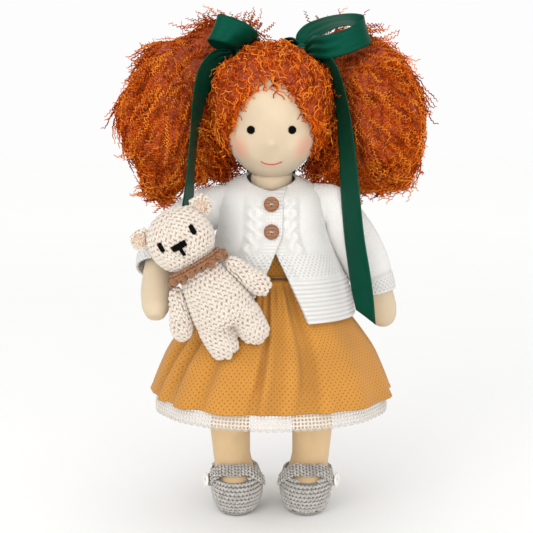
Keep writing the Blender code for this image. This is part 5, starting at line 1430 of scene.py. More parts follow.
OUTER_LOOPS = {
    1: (
        (0.05, 0.05, -0.04, 0.00, 0.10, 1.00, 0.30), (0.18, 0.27, 0.05, -0.10, 0.05, 1.00, 0.80),
        (0.42, 0.47, 0.04, -0.16, 0.02, 1.00, 0.90), (0.76, 0.56, 0.13, -0.20, 0.00, 1.00, 0.88),
        (1.07, 0.49, 0.27, -0.25, 0.00, 1.00, 0.94), (1.18, 0.33, 0.37, -0.28, 0.10, 0.95, 1.00),
        (1.07, 0.20, 0.47, -0.30, 0.50, 0.75, 1.00), (0.80, 0.13, 0.54, -0.35, 0.80, 0.48, 1.00),
        (0.49, 0.08, 0.49, -0.40, 0.80, 0.45, 1.00), (0.18, 0.00, 0.36, -0.50, 0.65, 0.50, 0.90),
        (-0.01, -0.05, 0.21, -0.50, 0.60, 0.50, 0.65), (-0.04, -0.05, 0.06, -0.50, 0.50, 0.50, 0.30),
    ),
    -1: (
        (-0.04, 0.06, 0.06, 0.80, 0.00, -0.45, 0.30), (-0.15, 0.31, 0.13, 0.85, 0.00, -0.50, 0.90),
        (-0.04, 0.49, 0.24, 0.70, 0.00, -0.70, 1.00), (0.18, 0.58, 0.33, 0.50, 0.00, -0.85, 1.00),
        (0.42, 0.53, 0.40, 0.39, 0.00, -0.92, 1.00), (0.49, 0.40, 0.38, 0.39, 0.00, -0.92, 1.00),
        (0.36, 0.22, 0.25, 0.45, 0.20, -0.85, 1.00), (0.13, 0.09, 0.11, 0.50, 0.20, -0.80, 0.75),
        (0.04, -0.04, -0.04, 0.50, 0.20, -0.80, 0.30),
    ),
}
INNER_LOOP = (
    (0.00, -0.03, 0.02, 0.60, 0.60, -0.20, 0.30), (-0.07, -0.17, 0.07, 0.80, 0.50, -0.25, 0.70),
    (-0.15, -0.36, 0.04, 0.85, 0.40, -0.30, 0.85), (-0.20, -0.54, -0.04, 0.85, 0.40, -0.30, 0.85),
    (-0.22, -0.62, 0.00, 0.85, 0.40, -0.30, 0.85), (-0.20, -0.57, 0.10, 0.85, 0.40, -0.30, 0.85),
    (-0.15, -0.40, 0.18, 0.85, 0.40, -0.30, 0.85), (-0.08, -0.17, 0.19, 0.80, 0.50, -0.25, 0.65),
    (0.00, -0.03, 0.10, 0.60, 0.60, -0.20, 0.30),
)
TAILS = {
    1: (
        (0.035, 0.015, -0.010, 0.30, -0.60, 0.80, 0.40), (0.085, 0.060, -0.035, 0.30, -0.80, 0.50, 0.75),
        (0.125, 0.105, -0.110, 0.30, -0.92, 0.20, 1.00), (0.150, 0.145, -0.240, 0.42, -0.86, 0.10, 1.00),
        (0.166, 0.178, -0.390, 0.52, -0.80, 0.10, 1.00), (0.176, 0.212, -0.540, 0.62, -0.76, 0.08, 1.00),
        (0.192, 0.222, -0.700, 0.66, -0.73, 0.08, 1.00), (0.214, 0.240, -0.850, 0.72, -0.68, 0.08, 1.00),
        (0.235, 0.265, -1.000, 0.76, -0.64, -0.50, 1.00),
    ),
    -1: (
        (0.035, 0.015, -0.010, 0.30, -0.60, 0.80, 0.40), (0.085, 0.065, -0.030, 0.40, -0.65, 0.70, 0.75),
        (0.125, 0.115, -0.095, 0.55, -0.72, 0.42, 1.00), (0.155, 0.150, -0.205, 0.38, -0.90, 0.20, 1.00),
        (0.172, 0.176, -0.330, 0.22, -0.95, 0.12, 1.00), (0.183, 0.192, -0.450, 0.20, -0.96, 0.10, 1.00),
        (0.192, 0.204, -0.550, 0.30, -0.94, 0.10, 1.00), (0.202, 0.208, -0.640, 0.40, -0.90, 0.08, 1.00),
        (0.208, 0.210, -0.720, 0.55, -0.78, -0.35, 1.00),
    ),
}
BACK_TAIL = (
    (0.02, -0.08, -0.03, 0.60, 0.70, 0.10, 0.45), (0.00, -0.28, -0.12, 0.80, 0.50, 0.05, 0.90),
    (-0.06, -0.40, -0.30, 0.90, 0.35, 0.00, 1.00), (-0.10, -0.44, -0.52, 0.95, 0.25, 0.00, 1.00),
    (-0.12, -0.42, -0.76, 0.97, 0.20, 0.00, 1.00), (-0.13, -0.38, -1.00, 0.97, 0.20, 0.40, 1.00),
)
LOOP_LENGTH = 0.0450
TAIL_LENGTH = 0.2150
BACK_TAIL_LENGTH = 0.1200


def ribbon_piece(name, side, table, length, steps, both_ends):
    """One run of ribbon, gathered where it enters the knot."""
    knot = knot_place(side)
    indexed = [(i, *row) for i, row in enumerate(table)]
    run = smooth_table(indexed, np.linspace(0, len(table) - 1, steps + 1))
    centres = knot + run[:, :3] * (side, -1, 1) * length
    ways = unit(np.gradient(centres, axis=0))
    widths = unit(run[:, 3:6] * (side, 1, 1))
    faces = unit(np.cross(ways, widths))
    columns = 13
    across = np.linspace(-1, 1, columns)
    width = sizes().ribbon_width * run[:, 6]
    places = centres[:, None] + widths[:, None] * (across[None, :, None] * width[:, None, None] / 2)
    gathered = np.clip((1 - run[:, 6]) / 0.7, 0, 1)
    if both_ends:
        near = np.exp(-np.minimum(np.arange(steps + 1), steps - np.arange(steps + 1)) / (steps * 0.13))
    else:
        near = np.exp(-np.arange(steps + 1) / (steps * 0.06))
    ruffle = np.cos(across[None, :] * 8.5 + 0.8 * np.sin(near[:, None] * 3))
    ruffle = ruffle * (near + gathered)[:, None] * 0.0011
    crown = (1 - across[None, :] ** 2) * 0.0007 * np.sin(np.linspace(0, 9, steps + 1) + side)[:, None]
    places = places + faces[:, None] * (ruffle + crown)[..., None]
    along = path_lengths(centres)
    uv = np.stack(np.broadcast_arrays((across[None, :] + 1) * sizes().ribbon_width / 2, along[:, None]), -1)
    piece = grid_piece(name, places, uv.astype(float), False, finish("satin"), sizes().ribbon_thickness)
    return piece


def make_bows():
    for side, label in ((-1, "right"), (1, "left")):
        pieces = [
            ribbon_piece(f"bow_{label}_loop_{place}", side, table, LOOP_LENGTH, steps, True)
            for place, table, steps in (("outer", OUTER_LOOPS[side], 72), ("inner", INNER_LOOP, 48))
        ]
        rows, columns = 17, 36
        lifts = np.linspace(-1, 1, rows)
        turns = even_turns(columns)
        fullness = (1 - np.abs(lifts) ** 3.2 * 0.93) ** 0.5
        pleats = 1 + 0.05 * np.cos(turns[None, :] * 3 + lifts[:, None] * 5)
        pleats = pleats + 0.03 * np.cos(lifts[:, None] * 11)
        x = 0.0052 * np.cos(turns)[None, :] * fullness[:, None] * pleats
        y = 0.0048 * np.sin(turns)[None, :] * fullness[:, None] * pleats
        z = np.broadcast_to(lifts[:, None] * 0.0062, x.shape)
        places = knot_place(side) + np.stack([x, y, z], -1)
        knot = grid_piece(f"bow_{label}_knot", places, lengths_uv(places, True), True, finish("satin"))
        reshaped(knot.data, close_ends)
        for piece in (*pieces, knot):
            hand_over(piece, "doll_head", "satin", f"bow_{label}")
        tail = ribbon_piece(f"ribbon_{label}_tail", side, TAILS[side], TAIL_LENGTH, 110, False)
        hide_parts(f"ribbon_tail_{label}")
        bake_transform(tail)
        back = ribbon_piece(f"ribbon_{label}_back_tail", side, BACK_TAIL, BACK_TAIL_LENGTH, 60, False)
        hand_over(back, "doll_head", "satin", f"ribbon_back_tail_{label}")


def close_ends(shape):
    """Fills the two open rings of a grid."""
    edges = [edge for edge in shape.edges if edge.is_boundary]
    bmesh.ops.holes_fill(shape, edges=edges, sides=0)
    bmesh.ops.recalc_face_normals(shape, faces=shape.faces)


# Dress and petticoat

LACE_THICKNESS = 0.0007

def level_grid(node, heights, columns):
    """Where level rays towards the doll's axis first meet a node: one row for each height."""
    tree = tree_of(*cad_mesh(node))
    turns = even_turns(columns)
    reach = np.zeros((len(heights), columns))
    for r, height in enumerate(heights):
        for c, turn in enumerate(turns):
            away = np.array((math.sin(turn), -math.cos(turn), 0.0))
            start = AXIS + away * 0.2 + (0, 0, height)
            hit = tree.ray_cast(Vector(start), Vector(-away))[0]
            reach[r, c] = math.hypot(hit.x - AXIS[0], hit.y - AXIS[1]) if hit else np.nan
        if np.isnan(reach[r]).any():
            good = ~np.isnan(reach[r])
            reach[r] = np.interp(turns, turns[good], reach[r][good], period=2 * math.pi)
    return turns, reach


def round_places(turns, reach, heights):
    heights = np.broadcast_to(np.asarray(heights).reshape(-1, 1), reach.shape)
    x = AXIS[0] + np.sin(turns) * reach
    y = AXIS[1] - np.cos(turns) * reach
    return np.stack([x, y, heights], -1)


def make_skirt():
    low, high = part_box("skirt")
    heights = np.linspace(low.z + 0.0004, high.z - 0.0004, 50)
    columns = 320
    turns, reach = level_grid("skirt", heights, columns)
    reach = blurred(blurred(reach, 4.0, 1, True), 2.5, 0, False)
    plain = reach
    share = (heights - heights[0]) / (heights[-1] - heights[0])
    down = smooth_step(1.1 - share)[:, None]
    random = np.random.default_rng(5)
    folds = 18
    places, widths, depths = (
        random.uniform(low_end, high_end, folds)
        for low_end, high_end in ((0, 2 * math.pi), (0.028, 0.070), (0.0040, 0.0088))
    )
    for turn, width, depth in zip(places, widths, depths):
        drift = turn + 0.10 * np.sin(share * 2.5 + turn)[:, None]
        away = np.angle(np.exp(1j * (turns[None, :] - drift)))
        reach = reach - depth * bell(away, width) * (0.45 + 0.55 * down)
    gather = 0.0010 * np.cos(turns[None, :] * 46 + 2 * np.sin(turns[None, :] * 5)) * smooth_step(
        (share[:, None] - 0.55) / 0.3)
    reach = reach + gather
    inner_low, inner_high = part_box("petticoat")
    inside = np.clip(heights, inner_low.z + 0.002, inner_high.z - 0.002)
    under = level_grid("petticoat", inside, columns)[1] + 0.0016
    under = under - 0.0028 * smooth_step((inside - 0.112) / 0.012)[:, None]
    reach = np.maximum(reach, np.where(heights[:, None] < inner_high.z + 0.0040, under, 0))
    lace_low, lace_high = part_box("petticoat_lace")
    edge = level_grid("petticoat_lace", np.clip(heights, lace_low.z + 0.002, lace_high.z - 0.001), columns)[1]
    reach = np.maximum(reach, np.where(heights[:, None] < lace_high.z + 0.001, edge + 0.0018, 0))
    reach = reach + 0.0005 * bell(heights - low.z - 0.0012, 0.0012)[:, None]
    places = round_places(turns, reach, heights)
    skirt = grid_piece("skirt_cloth", places, lengths_uv(places, True), True, finish("dress"))
    # Painted shade: the deeper a fold cuts into the skirt, the darker its cloth is painted.
    store_values(skirt, hollow=np.clip((plain - reach - 0.0010) / 0.0060, 0, 1))
    thickened(skirt, sizes().dress_thickness)
    hand_over(skirt, "doll_body", "mustard_cotton", "skirt")


def wrap_uv(obj, radius):
    """Texture places round the doll's axis, in metres."""
    mesh = obj.data
    points, _ = arrays(mesh)
    turn = np.arctan2(points[:, 0] - AXIS[0], AXIS[1] - points[:, 1])
    layer = mesh.uv_layers.new(name="cloth")
    values = np.zeros((len(mesh.loops), 2), np.float32)
    for face in mesh.polygons:
        corners = list(face.vertices)
        first = turn[corners[0]]
        for number, corner in enumerate(corners):
            away = (turn[corner] - first + math.pi) % (2 * math.pi) - math.pi
            values[face.loop_start + number] = ((first + away) * radius, points[corner, 2])
    layer.data.foreach_set("uv", values.reshape(-1))


def softened(name, node, levels, material):
    """A copy of a thin CAD shell with its facets rounded."""
    points, triangles = cad_mesh(node)
    obj = new_piece(name, points, triangles, None, material)
    surface = obj.modifiers.new("soft", "SUBSURF")
    surface.levels = levels
    surface.render_levels = levels
    bake(obj)
    obj.data.shade_smooth()
    return obj


def make_bodice():
    bodice = softened("bodice_cloth", "dress_bodice", 2, finish("dress"))
    low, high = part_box("dress_bodice")
    points, _ = arrays(bodice.data)
    neckline = high.z - 0.0085
    above = points[:, 2] > neckline
    points[:, 2] = np.where(above, neckline + (points[:, 2] - neckline) * 0.15, points[:, 2])
    bodice.data.vertices.foreach_set("co", points.reshape(-1))
    wrap_uv(bodice, (high.x - low.x) / 2)
    hand_over(bodice, "doll_body", "mustard_cotton", "dress_bodice")
    skirt_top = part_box("skirt")[1].z
    turns, reach = level_grid("dress_bodice", [skirt_top + 0.0012], 120)
    centres = round_places(turns, reach + 0.0004, [skirt_top + 0.0008])[0]
    closed = np.concatenate([centres, centres[:2]])
    seam = tubes_piece("waist_seam", [(closed, np.full(len(closed), 0.0007), 6, (0, 0, 1))], finish("dress"))
    hand_over(seam, "doll_body", "mustard_cotton")


def make_petticoat():
    low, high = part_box("petticoat")
    heights = np.linspace(low.z + 0.0003, high.z - 0.0003, 30)
    turns, reach = level_grid("petticoat", heights, 240)
    reach = blurred(blurred(reach, 3.0, 1, True), 1.5, 0, False)
    reach = reach + 0.0005 * np.cos(turns[None, :] * 30 + np.sin(turns[None, :] * 7))
    reach = reach - 0.0040 * smooth_step((heights - 0.108) / 0.012)[:, None]
    places = round_places(turns, reach, heights)
    piece = grid_piece("petticoat_cloth", places, lengths_uv(places, True), True, finish("cotton"), 0.0008)
    hand_over(piece, "doll_body", "white_cotton", "petticoat")
    make_lace()


def lace_cell():
    """One cell of lace, one unit wide and tall, with a round hole."""
    sides = 8
    turns = [math.pi / 4 * (k + 0.5) - math.pi for k in range(sides)]
    inner = [(0.5 + 0.35 * math.cos(turn), 0.5 + 0.35 * math.sin(turn)) for turn in turns]
    outer = [(0.0, 0.38), (0.38, 0.0), (0.62, 0.0), (1.0, 0.38),
             (1.0, 0.62), (0.62, 1.0), (0.38, 1.0), (0.0, 0.62)]
    corners = [(0.0, 0.0), (1.0, 0.0), (1.0, 1.0), (0.0, 1.0)]
    faces = [(k, sides + k, sides + (k + 1) % sides, (k + 1) % sides) for k in range(sides)]
    faces += [(sides + 2 * k + 1, sides + 2 * k, 2 * sides + k) for k in range(4)]
    return np.array(inner + outer + corners), faces


def make_lace():
    """Lace below the petticoat: rows of round holes above a scalloped edge with small loops."""
    low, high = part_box("petticoat_lace")
    low.z += 0.0045
    cell = sizes().lace_cell
    heights = np.linspace(low.z + 0.0024, high.z - 0.0002, 9)
    turns, reach = level_grid("petticoat_lace", heights, 240)
    reach = blurred(reach, 2.5, 1, True)
    around = path_length(round_places(turns, reach, heights)[0])
    columns = int(round(around / cell / 2)) * 2
    tall = high.z - low.z - 0.0004
    rows = int(round(tall / cell))
    points, faces = lace_cell()
    flat, faces = merged((points + (c, r), faces) for r in range(rows) for c in range(columns))
    u = flat[:, 0] / columns
    v = flat[:, 1] / rows
    wave = 0.0013 * np.abs(np.sin(flat[:, 0] * math.pi / 2)) * (1 - v) ** 2
    z = low.z + 0.0014 + v * tall * 0.93 - wave
    turn = u * 2 * math.pi
    table = np.concatenate([reach, reach[:, :1]], 1)
    at_turn = np.clip(turn / (2 * math.pi) * 240, 0, 239.999)
    column = at_turn.astype(int)
    share = at_turn - column
    at_row = np.clip((z - heights[0]) / (heights[-1] - heights[0]) * 8, 0, 7.999)
    row = at_row.astype(int)
    up = at_row - row
    near = table[row, column] * (1 - share) + table[row, column + 1] * share
    far = table[row + 1, column] * (1 - share) + table[row + 1, column + 1] * share
    radius = near * (1 - up) + far * up
    placed_at = np.stack([AXIS[0] + np.sin(turn) * radius, AXIS[1] - np.cos(turn) * radius, z], -1)
    piece = new_piece("lace_cloth", placed_at, faces, None, finish("lace"))
    reshaped(piece.data, lambda shape: bmesh.ops.remove_doubles(shape, verts=shape.verts, dist=0.00002))
    thickened(piece, LACE_THICKNESS)
    hand_over(piece, "doll_body", "white_cotton", "petticoat_lace")
    make_lace_loops(columns * 2, turns, reach[0], low.z)


def make_lace_loops(count, turns, reach, bottom):
    """Small open loops of thread along the scallops of the lace."""
    runs = []
    for k in range(count):
        at = k * 2 * math.pi / count
        swing = abs(math.sin(k * math.pi / 4))
        radius = float(np.interp(at, turns, reach, period=2 * math.pi)) - 0.0003
        centre = np.array((AXIS[0] + math.sin(at) * radius, AXIS[1] - math.cos(at) * radius,
                           bottom + 0.0010 - 0.0013 * swing))
        side = np.array((math.cos(at), math.sin(at), 0.0))
        ring = [centre + side * 0.00065 * math.cos(t) + np.array((0, 0, 0.00085 * math.sin(t)))
                for t in np.linspace(0.6, 0.6 + 1.66 * math.pi, 7)]
        runs.append((ring, np.full(7, 0.00033), 3, (0, 0, 1)))
    loops = tubes_piece("lace_loops", runs, finish("lace"))
    hand_over(loops, "doll_body", "white_cotton")


# Cardigan: shares of its height, of its half width and depth, and how square each round is,
# then where its two front edges lie at shares of its height

CARDIGAN_ROWS = (
    (0.000, 1.000, 1.000, 1.00), (0.136, 0.965, 0.919, 1.00), (0.263, 0.900, 0.839, 0.98),
    (0.428, 0.762, 0.750, 0.90), (0.540, 0.680, 0.710, 0.84), (0.640, 0.642, 0.685, 0.80),
    (0.750, 0.632, 0.650, 0.80), (0.850, 0.625, 0.590, 0.84), (0.925, 0.560, 0.490, 0.88),
    (0.965, 0.410, 0.380, 0.94), (1.000, 0.276, 0.312, 1.00),
)
UNDER_EDGE = ((0.00, 0.415), (0.136, 0.320), (0.28, 0.204), (0.45, 0.063), (0.52, 0.005), (0.60, -0.085),
              (1.0, -0.085))
TOP_EDGE = ((0.00, -0.366), (0.136, -0.225), (0.28, -0.100), (0.45, 0.025), (0.52, 0.070), (0.60, 0.120),
            (1.0, 0.120))
CARDIGAN_HALF_WIDTH = 0.071
CARDIGAN_HALF_DEPTH = 0.062
SEAM_OUT = 0.0437
SHOULDER_HEIGHT = 0.2570
GARTER_TOP = 0.0350
SEED_TOP = 0.058
BAND_WIDTH = 0.0085
BAND_RIDGE = 0.0027
CABLE_FROM_EDGE = 0.0165
CABLE_WIDTH = 0.0017
CABLE_SWING = 0.0034
CABLE_TURN = 0.0185
GUTTER_FROM_CABLE = 0.0078
CUFF_WIDTH = 0.0130
CUFF_RIDGE = 0.0026
CUFF_LINE = 0.0138
SLEEVE_THICKNESS = 0.0019


def cardigan_height():
    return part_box("cardigan_body")[1].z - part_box("cardigan_body")[0].z


def cardigan_place(turn, share, offset, drop=0.0):
    """The knit's surface at turns from the front and shares of its height, moved out and lowered."""
    def outline(turns):
        wide = straight_table(CARDIGAN_ROWS, share, 1) * CARDIGAN_HALF_WIDTH
        deep = straight_table(CARDIGAN_ROWS, share, 2) * CARDIGAN_HALF_DEPTH
        power = straight_table(CARDIGAN_ROWS, share, 3)
        x = np.sign(np.sin(turns)) * np.abs(np.sin(turns)) ** power * wide
        y = np.sign(np.cos(turns)) * np.abs(np.cos(turns)) ** power * deep
        return x, -y
    x, y = outline(turn)
    x1, y1 = outline(turn + 0.01)
    x0, y0 = outline(turn - 0.01)
    out = unit(np.stack([y1 - y0, x0 - x1, np.zeros_like(x)], -1))
    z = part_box("cardigan_body")[0].z + (share - drop) * cardigan_height()
    base = np.stack([x + AXIS[0], y + AXIS[1], z], -1)
    return base + out * np.asarray(offset)[..., None], out


def edge_turn(table, share):
    half_width = straight_table(CARDIGAN_ROWS, share, 1) * CARDIGAN_HALF_WIDTH
    power = straight_table(CARDIGAN_ROWS, share, 3)
    reach = smooth_table(table, share)[..., 0] * CARDIGAN_HALF_WIDTH / half_width
    return np.sign(reach) * np.arcsin(np.abs(reach) ** (1 / power))


def make_cardigan():
    rows, columns = 140, 236
    shares = np.linspace(0, 1, rows)
    start = edge_turn(UNDER_EDGE, shares)
    end = 2 * math.pi + edge_turn(TOP_EDGE, shares)
    along = np.linspace(0, 1, columns)
    turn = start[:, None] + (end - start)[:, None] * along[None, :]
    away = np.abs(np.angle(np.exp(1j * turn))) / math.radians(108)
    dip = 0.120 * np.maximum(0, 1 - away) ** 1.3
    above = np.maximum(shares - 0.75, 0)[:, None] / 0.25
    drop = dip * above * 0.75
    share = shares[:, None] - dip * above * 0.25
    near = 1 - np.maximum(2 * math.pi - turn, 0) / math.radians(62)
    lift = 0.0029 * np.clip(near * 1.6, 0, 1)
    places, out = cardigan_place(turn, share, lift, drop)
    places = blurred(places, 4.0, 0, False)
    places = blurred(places, 2.0, 1, False)
    height = (share - drop) * cardigan_height()
    ring = np.linalg.norm(np.diff(places, axis=1), axis=-1).sum(1)[:, None]
    relief, hollow, band = cardigan_pattern(height, np.minimum(along, 1 - along)[None, :] * ring)
    relief += 0.0010 * lumps(places.reshape(-1, 3), 0.030, 61).reshape(height.shape) * (1 - band)
    normals = grid_normals(places, False)
    if (normals * out).sum() < 0:
        normals = -normals
    places = fit_armholes(places + normals * relief[..., None])
    keep_clear(places[rows * 2 // 3:])
    seed = smooth_step((height - GARTER_TOP) / 0.002) * smooth_step((SEED_TOP - height) / 0.006)
    uv = np.stack(np.broadcast_arrays(path_lengths(places[rows // 3]), height), -1)
    obj = grid_piece("cardigan_cloth", places, uv, False, finish("knit"))
    store_values(obj, seed=seed, hollow=hollow)
    thickened(obj, sizes().knit_thickness)
    hand_over(obj, "doll_body", "white_knit", "cardigan_body")


def cardigan_pattern(height, from_edge):
    """The relief of the garter ridges, front bands and cables, the painted shade in their hollows, and where
    the bands lie.
    """
    garter = smooth_step((GARTER_TOP - height) / 0.002)
    ridges = np.abs(np.sin(height / sizes().ridge * math.pi))
    band = smooth_step((BAND_WIDTH - from_edge) / 0.0015) * (1 - garter)
    band_ridges = np.abs(np.sin(height / BAND_RIDGE * math.pi))
    zone = smooth_step((height - 0.052) / 0.006) * smooth_step((0.103 - height) / 0.010)
    away = from_edge - CABLE_FROM_EDGE
    turn = height / CABLE_TURN * 2 * math.pi
    swing = CABLE_SWING * np.sin(turn)
    over = 0.35 * np.cos(turn)
    first = bell(away - swing, CABLE_WIDTH) * (0.80 + over)
    second = bell(away + swing, CABLE_WIDTH) * (0.80 - over)
    cable = np.maximum(first, second)
    gutters = bell(np.abs(away) - GUTTER_FROM_CABLE, 0.0010)
    relief = garter * 0.0010 * ridges ** 0.8 + band * 0.00045 * band_ridges
    relief += zone * (0.0021 * cable - 0.0003 * gutters)
    inside_cable = smooth_step((0.0095 - np.abs(away)) / 0.0045)
    # Painted shade: darker between the garter ridges, in the gutters and beside the cables, and between the
    # band ridges.
    hollow = garter * (1 - ridges) ** 1.3
    hollow += zone * (0.30 * gutters + inside_cable * 0.75 * np.clip(0.75 - cable, 0, 1))
    hollow += band * 0.7 * (1 - band_ridges)
    return relief, np.clip(hollow, 0, 1), band


def keep_clear(places):
    """Moves the top of the knit off the bodice and below the chin, in place."""
    chin = tree_of(*cad_mesh("head"))
    chest = tree_of(*cad_mesh("dress_bodice"))
    room = sizes().knit_thickness + 0.0006
    for place in places.reshape(-1, 3):
        hit, normal, _, _ = chest.find_nearest(Vector(place))
        clear = float(np.dot(place - np.array(hit), np.array(normal)))
        if hit.z < 0.270 and -0.006 < clear < room:
            place += np.array(normal) * (room - clear)
        hit = chin.ray_cast(Vector((place[0], place[1], 0.2)), Vector((0, 0, 1)))[0]
        if hit is not None:
            place[2] = min(place[2], hit.z - 0.0006)


def store_values(obj, **values):
    """Keeps numbers on the points of a piece for its material."""
    for name, numbers in values.items():
        layer = obj.data.attributes.new(name, "FLOAT", "POINT")
        layer.data.foreach_set("value", np.ascontiguousarray(numbers, np.float32).reshape(-1))


def fit_armholes(places):
    """Draws the knit in at the shoulders, where the sleeves are sewn on."""
    x = places[..., 0] - AXIS[0]
    radial = np.hypot(places[..., 1] - AXIS[1], places[..., 2] - SHOULDER_HEIGHT)
    inside = radial < 0.0262
    limit = SEAM_OUT + np.maximum(radial - 0.019, 0) * 0.55
    over = inside & (np.abs(x) > limit)
    x = np.where(over, np.sign(x) * limit, x)
    places = places.copy()
    places[..., 0] = x + AXIS[0]
    return places


# Sleeves: x and z of the left one's centres, x and z of half its width, and half its depth

LEFT_SLEEVE = (
    (0.0350, 0.2570, 0.0, 0.0176, 0.0236), (0.0398, 0.2570, 0.0, 0.0172, 0.0198),
    (0.0445, 0.2568, 0.0, 0.0176, 0.0184), (0.0510, 0.2537, 0.0060, 0.0193, 0.0190),
    (0.0588, 0.2454, 0.0116, 0.0166, 0.0193), (0.0682, 0.2292, 0.0163, 0.0119, 0.0195),
    (0.0801, 0.2072, 0.0182, 0.0078, 0.0189), (0.0870, 0.1888, 0.0167, 0.0038, 0.0171),
    (0.0880, 0.1840, 0.0162, 0.0035, 0.0169),
)
RIGHT_SLEEVE_PLACES = (
    (0.000, 0.00, 0.005), (0.170, 0.00, 0.040), (0.430, 0.02, 0.150), (0.720, 0.07, 0.290),
    (0.900, 0.21, 0.390), (0.975, 0.40, 0.480), (0.985, 0.54, 0.600),
)
RIGHT_SLEEVE_RADII = (0.932, 0.985, 0.985, 0.985, 0.960, 0.900, 0.860)


def sleeve_piece(name, centres, wides, deeps, node):
    """A knitted sleeve through rings, with a seed stitch cuff and soft creases."""
    columns = 96
    rows = 110
    table = [(i, *c, *w, *d) for i, (c, w, d) in enumerate(zip(centres, wides, deeps))]
    run = smooth_table(table, np.linspace(0, len(centres) - 1, rows))
    turns = even_turns(columns)[None, :, None]
    places = run[:, None, :3] + np.cos(turns) * run[:, None, 3:6] + np.sin(turns) * run[:, None, 6:9]
    places = blurred(places, 2.5, 0, False)
    along = path_lengths(run[:, :3])
    left = along[-1] - along
    out = unit(places - run[:, None, :3])
    relief = 0.0010 * lumps(places.reshape(-1, 3), 0.020, 62).reshape(places.shape[:2])
    cuff = smooth_step((CUFF_WIDTH - left) / 0.0015)[:, None]
    cuff_ridges = np.abs(np.sin(left[:, None] / CUFF_RIDGE * math.pi))
    line = bell(left - CUFF_LINE, 0.0009)[:, None]
    relief += cuff * 0.0004 * cuff_ridges
    relief -= 0.0006 * line
    places = places + out * relief[..., None]
    around = path_length(places[rows // 2]) * columns / (columns - 1)
    u = np.linspace(0, around, columns + 1)
    uv = np.stack(np.broadcast_arrays(u[None, :], along[:, None]), -1).astype(float)
    obj = grid_piece(name, places, uv, True, finish("knit"))
    # Painted shade in the grooves of the cuff and along the crease line above it.
    groove_shade = cuff * 0.6 * (1 - cuff_ridges) + line * 0.8
    seed, hollow = (np.broadcast_to(values, places.shape[:2]) for values in (cuff, groove_shade))
    store_values(obj, seed=seed, hollow=hollow)
    thickened(obj, SLEEVE_THICKNESS)
    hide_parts(node)
    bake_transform(obj)
    return obj


def make_sleeves():
    centres = [np.array((x, 0.0, z)) + AXIS for x, z, *_ in LEFT_SLEEVE]
    wides = [np.array((out, 0.0, up)) for _, _, out, up, _ in LEFT_SLEEVE]
    deeps = [np.array((0.0, -depth, 0.0)) for *_, depth in LEFT_SLEEVE]
    sleeve_piece("sleeve_left_cloth", centres, wides, deeps, "sleeve_left")
    centres, wides, deeps = [], [], []
    places = [(-(0.0442 + out * 0.0490), -ahead * 0.0600, 0.257 - down * 0.0820)
              for out, ahead, down in RIGHT_SLEEVE_PLACES]
    places = [(-0.0350, 0.0, 0.2570), (-0.0398, 0.0, 0.2570)] + places
    radii = [0.0188 * share for share in RIGHT_SLEEVE_RADII]
    ways = unit(np.gradient(np.array(places), axis=0))
    for place, way, wide, deep in zip(places, ways, [0.0176, 0.0172] + radii, [0.0236, 0.0198] + radii):
        side = unit(np.cross(way, (0.0, 1.0, 0.0)))
        centres.append(np.array(place) + AXIS)
        wides.append(side * wide)
        deeps.append(np.cross(way, side) * deep)
    sleeve_piece("sleeve_right_cloth", centres, wides, deeps, "sleeve_right")


# Buttons and shoes

def paint_node(node, material):
    """Gives a rigid CAD node a finish in its own slots."""
    data = frame["nodes"][node].data
    if len(data.materials) == 0:
        data.materials.append(finish(material))
    for number in range(len(data.materials)):
        data.materials[number] = finish(material)


def holding_thread(name, node, out, across, spacing, body):
    """White thread over the bridge between a button's two holes."""
    centre = middle(node)
    low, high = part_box(node)
    out = unit(np.array(out, float))
    across = unit(np.array(across, float))
    reach = abs(float(np.dot(np.array(high - low) / 2, np.abs(out))))
    tree = tree_of(*cad_mesh(node))
    runs = []
    up = np.cross(out, across)
    thread_radius = 0.00022
    for shift in (-thread_radius, thread_radius):
        centres = []
        for share in np.linspace(-1, 1, 9):
            start = centre + across * share * spacing / 2 + up * shift + out * (reach + 0.003)
            hit = tree.ray_cast(Vector(start), Vector(-out))[0]
            depth = (reach + 0.003) if hit is None else float(np.dot(start - np.array(hit), out))
            base = start - out * min(depth, reach + 0.0035)
            centres.append(base + out * (0.00035 - 0.0012 * max(abs(share) - 0.75, 0) * 4))
        runs.append((centres, np.full(9, thread_radius), 6, up))
    thread = tubes_piece(name, runs, finish("white_thread"))
    return hand_over(thread, body, "white_cotton")


def make_buttons():
    for place in ("upper", "lower"):
        node = f"cardigan_button_{place}"
        paint_node(node, "wood")
        holding_thread(f"{node}_thread", node, (0.0, -1.0, 0.12), (1.0, 0.0, 0.0), 0.0030, "doll_body")


